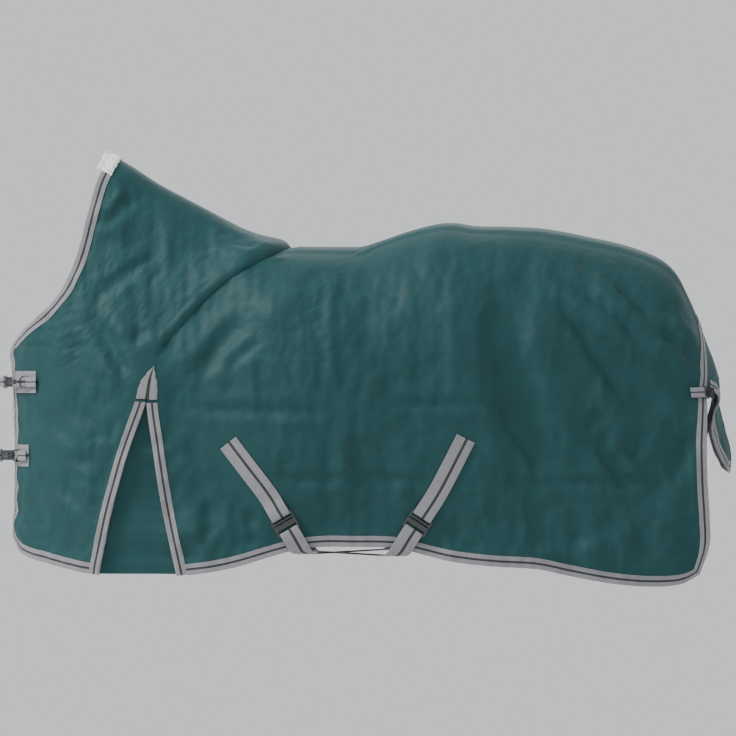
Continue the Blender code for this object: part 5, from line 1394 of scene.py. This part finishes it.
# ---- stage -------------------------------------------------------------------------------------------
def make_stage():
    world = bpy.data.worlds.new("studio")
    world.use_nodes = True
    back = world.node_tree.nodes["Background"]
    back.inputs["Color"].default_value = (0.93, 0.95, 0.97, 1)
    back.inputs["Strength"].default_value = 0.85
    bpy.context.scene.world = world
    bpy.ops.mesh.primitive_circle_add(vertices=96, radius=4.5, fill_type="NGON", location=(0.07, 0, -1.45))
    floor = bpy.context.object
    floor.name = "floor"
    made, tree, shader = finish_named("pale_floor", roughness=0.85)
    place = add(tree, "ShaderNodeTexCoord").outputs["Object"]
    grain = add(tree, "ShaderNodeTexNoise", {"Vector": place, "Scale": 3.0, "Detail": 3.0}).outputs["Fac"]
    tone = add(tree, "ShaderNodeMix", {"Factor": grain}, data_type="RGBA")
    tone.inputs[6].default_value, tone.inputs[7].default_value = linear("#dedfe0"), linear("#e6e6e6")
    tree.links.new(tone.outputs[2], shader.inputs["Base Color"])
    floor.data.materials.append(made)
    for name, place, size, power in (("key", (-3.9, -1.7, 3.2), 1.6, 330),
                                     ("fill", (3.6, -3.8, 1.2), 3.0, 20), ("rim", (1.0, 4.2, 2.8), 2.6, 60)):
        lamp = bpy.data.lights.new(name, "AREA")
        lamp.energy, lamp.size = power, size
        thing = bpy.data.objects.new(name, lamp)
        thing.location = place
        thing.rotation_euler = (Vector((0.07, 0, -0.3)) - Vector(place)).to_track_quat("-Z", "Y").to_euler()
        bpy.context.scene.collection.objects.link(thing)
    eye = bpy.data.cameras.new("camera")
    eye.lens, eye.sensor_width = 36 * 19.85 / 1.84, 36
    seen = bpy.data.objects.new("camera", eye)
    seen.location, seen.rotation_euler = (0.07, -20, -0.301), (math.pi / 2, 0, 0)
    bpy.context.scene.collection.objects.link(seen)
    bpy.context.scene.camera = seen


def make_stitching():
    settle_piece(stitched("rug"), "rug", "binding_tape")


# ---- operators and panel -------------------------------------------------------------------------
class RUG_OT_cloth(bpy.types.Operator):
    """Make the outer cloth of both sides."""
    bl_idname = "rug.cloth"
    bl_label = "Cloth"
    bl_options = {"REGISTER", "UNDO"}

    def execute(self, context):
        for side in SIDES:
            make_cloth(side)
        return {"FINISHED"}


class RUG_OT_linings(bpy.types.Operator):
    """Make the linings."""
    bl_idname = "rug.linings"
    bl_label = "Linings"
    bl_options = {"REGISTER", "UNDO"}

    def execute(self, context):
        make_linings()
        return {"FINISHED"}


class RUG_OT_gussets(bpy.types.Operator):
    """Make the shoulder gussets."""
    bl_idname = "rug.gussets"
    bl_label = "Gussets"
    bl_options = {"REGISTER", "UNDO"}

    def execute(self, context):
        for side in SIDES:
            make_gusset(side)
        return {"FINISHED"}


class RUG_OT_gusset_caps(bpy.types.Operator):
    """Make the pointed caps over the gussets."""
    bl_idname = "rug.gusset_caps"
    bl_label = "Gusset caps"
    bl_options = {"REGISTER", "UNDO"}

    def execute(self, context):
        for side in SIDES:
            make_cap(side)
        return {"FINISHED"}


class RUG_OT_edge_tapes(bpy.types.Operator):
    """Make the tape on every edge."""
    bl_idname = "rug.edge_tapes"
    bl_label = "Edge tapes"
    bl_options = {"REGISTER", "UNDO"}

    def execute(self, context):
        for side in SIDES:
            make_tapes(side)
        return {"FINISHED"}


class RUG_OT_neck_fleece(bpy.types.Operator):
    """Make the neck fleece."""
    bl_idname = "rug.neck_fleece"
    bl_label = "Neck fleece"
    bl_options = {"REGISTER", "UNDO"}

    def execute(self, context):
        make_fleece()
        return {"FINISHED"}


class RUG_OT_tail_flap(bpy.types.Operator):
    """Make the tail flap and its tape."""
    bl_idname = "rug.tail_flap"
    bl_label = "Tail flap"
    bl_options = {"REGISTER", "UNDO"}

    def execute(self, context):
        make_tail_flap()
        return {"FINISHED"}


class RUG_OT_surcingles(bpy.types.Operator):
    """Make the anchors and belly straps."""
    bl_idname = "rug.surcingles"
    bl_label = "Surcingles"
    bl_options = {"REGISTER", "UNDO"}

    def execute(self, context):
        make_anchors()
        make_belly_straps()
        return {"FINISHED"}


class RUG_OT_chest_closings(bpy.types.Operator):
    """Make both chest closings."""
    bl_idname = "rug.chest_closings"
    bl_label = "Chest closings"
    bl_options = {"REGISTER", "UNDO"}

    def execute(self, context):
        for which in CLOSINGS:
            make_closing(which)
        return {"FINISHED"}


class RUG_OT_tail_strap(bpy.types.Operator):
    """Make the tail strap and its tabs."""
    bl_idname = "rug.tail_strap"
    bl_label = "Tail strap"
    bl_options = {"REGISTER", "UNDO"}

    def execute(self, context):
        make_tail_strap()
        return {"FINISHED"}


class RUG_OT_fittings(bpy.types.Operator):
    """Make the metal fittings."""
    bl_idname = "rug.fittings"
    bl_label = "Fittings"
    bl_options = {"REGISTER", "UNDO"}

    def execute(self, context):
        make_fittings()
        return {"FINISHED"}


class RUG_OT_stitching(bpy.types.Operator):
    """Sew the visible stitches."""
    bl_idname = "rug.stitching"
    bl_label = "Stitching"
    bl_options = {"REGISTER", "UNDO"}

    def execute(self, context):
        make_stitching()
        return {"FINISHED"}


class RUG_OT_declare_sheets(bpy.types.Operator):
    """Does nothing: no piece is declared a sheet here."""
    bl_idname = "rug.declare_sheets"
    bl_label = "Declare sheets"
    bl_options = {"REGISTER", "UNDO"}

    def execute(self, context):
        return {"FINISHED"}


class RUG_OT_stage(bpy.types.Operator):
    """Make the floor, lights and camera."""
    bl_idname = "rug.stage"
    bl_label = "Stage"
    bl_options = {"REGISTER", "UNDO"}

    def execute(self, context):
        make_stage()
        return {"FINISHED"}


OPERATORS = (
    RUG_OT_cloth,
    RUG_OT_linings,
    RUG_OT_gussets,
    RUG_OT_gusset_caps,
    RUG_OT_edge_tapes,
    RUG_OT_neck_fleece,
    RUG_OT_tail_flap,
    RUG_OT_surcingles,
    RUG_OT_chest_closings,
    RUG_OT_tail_strap,
    RUG_OT_fittings,
    RUG_OT_stitching,
    RUG_OT_declare_sheets,
    RUG_OT_stage,
)


class RUG_PT_panel(bpy.types.Panel):
    """The rug's settings, and a button for each piece."""
    bl_label = "Turnout Rug"
    bl_space_type = "VIEW_3D"
    bl_region_type = "UI"
    bl_category = "Turnout Rug"

    def draw(self, context):
        for group in (context.scene.rug_cloth, context.scene.rug_trim, context.scene.rug_colours):
            for key in group.__annotations__:
                self.layout.prop(group, key)
        for made in OPERATORS:
            self.layout.operator(made.bl_idname)


CLASSES = (RugCloth, RugTrim, RugColours) + OPERATORS + (RUG_PT_panel,)


def register():
    for made in CLASSES:
        bpy.utils.register_class(made)
    bpy.types.Scene.rug_cloth = bpy.props.PointerProperty(type=RugCloth)
    bpy.types.Scene.rug_trim = bpy.props.PointerProperty(type=RugTrim)
    bpy.types.Scene.rug_colours = bpy.props.PointerProperty(type=RugColours)


def unregister():
    for name in ("rug_cloth", "rug_trim", "rug_colours"):
        delattr(bpy.types.Scene, name)
    for made in reversed(CLASSES):
        bpy.utils.unregister_class(made)


def main():
    register()
    for made in OPERATORS:
        group, name = made.bl_idname.split(".")
        getattr(getattr(bpy.ops, group), name)()


if __name__ == "__main__":
    main()
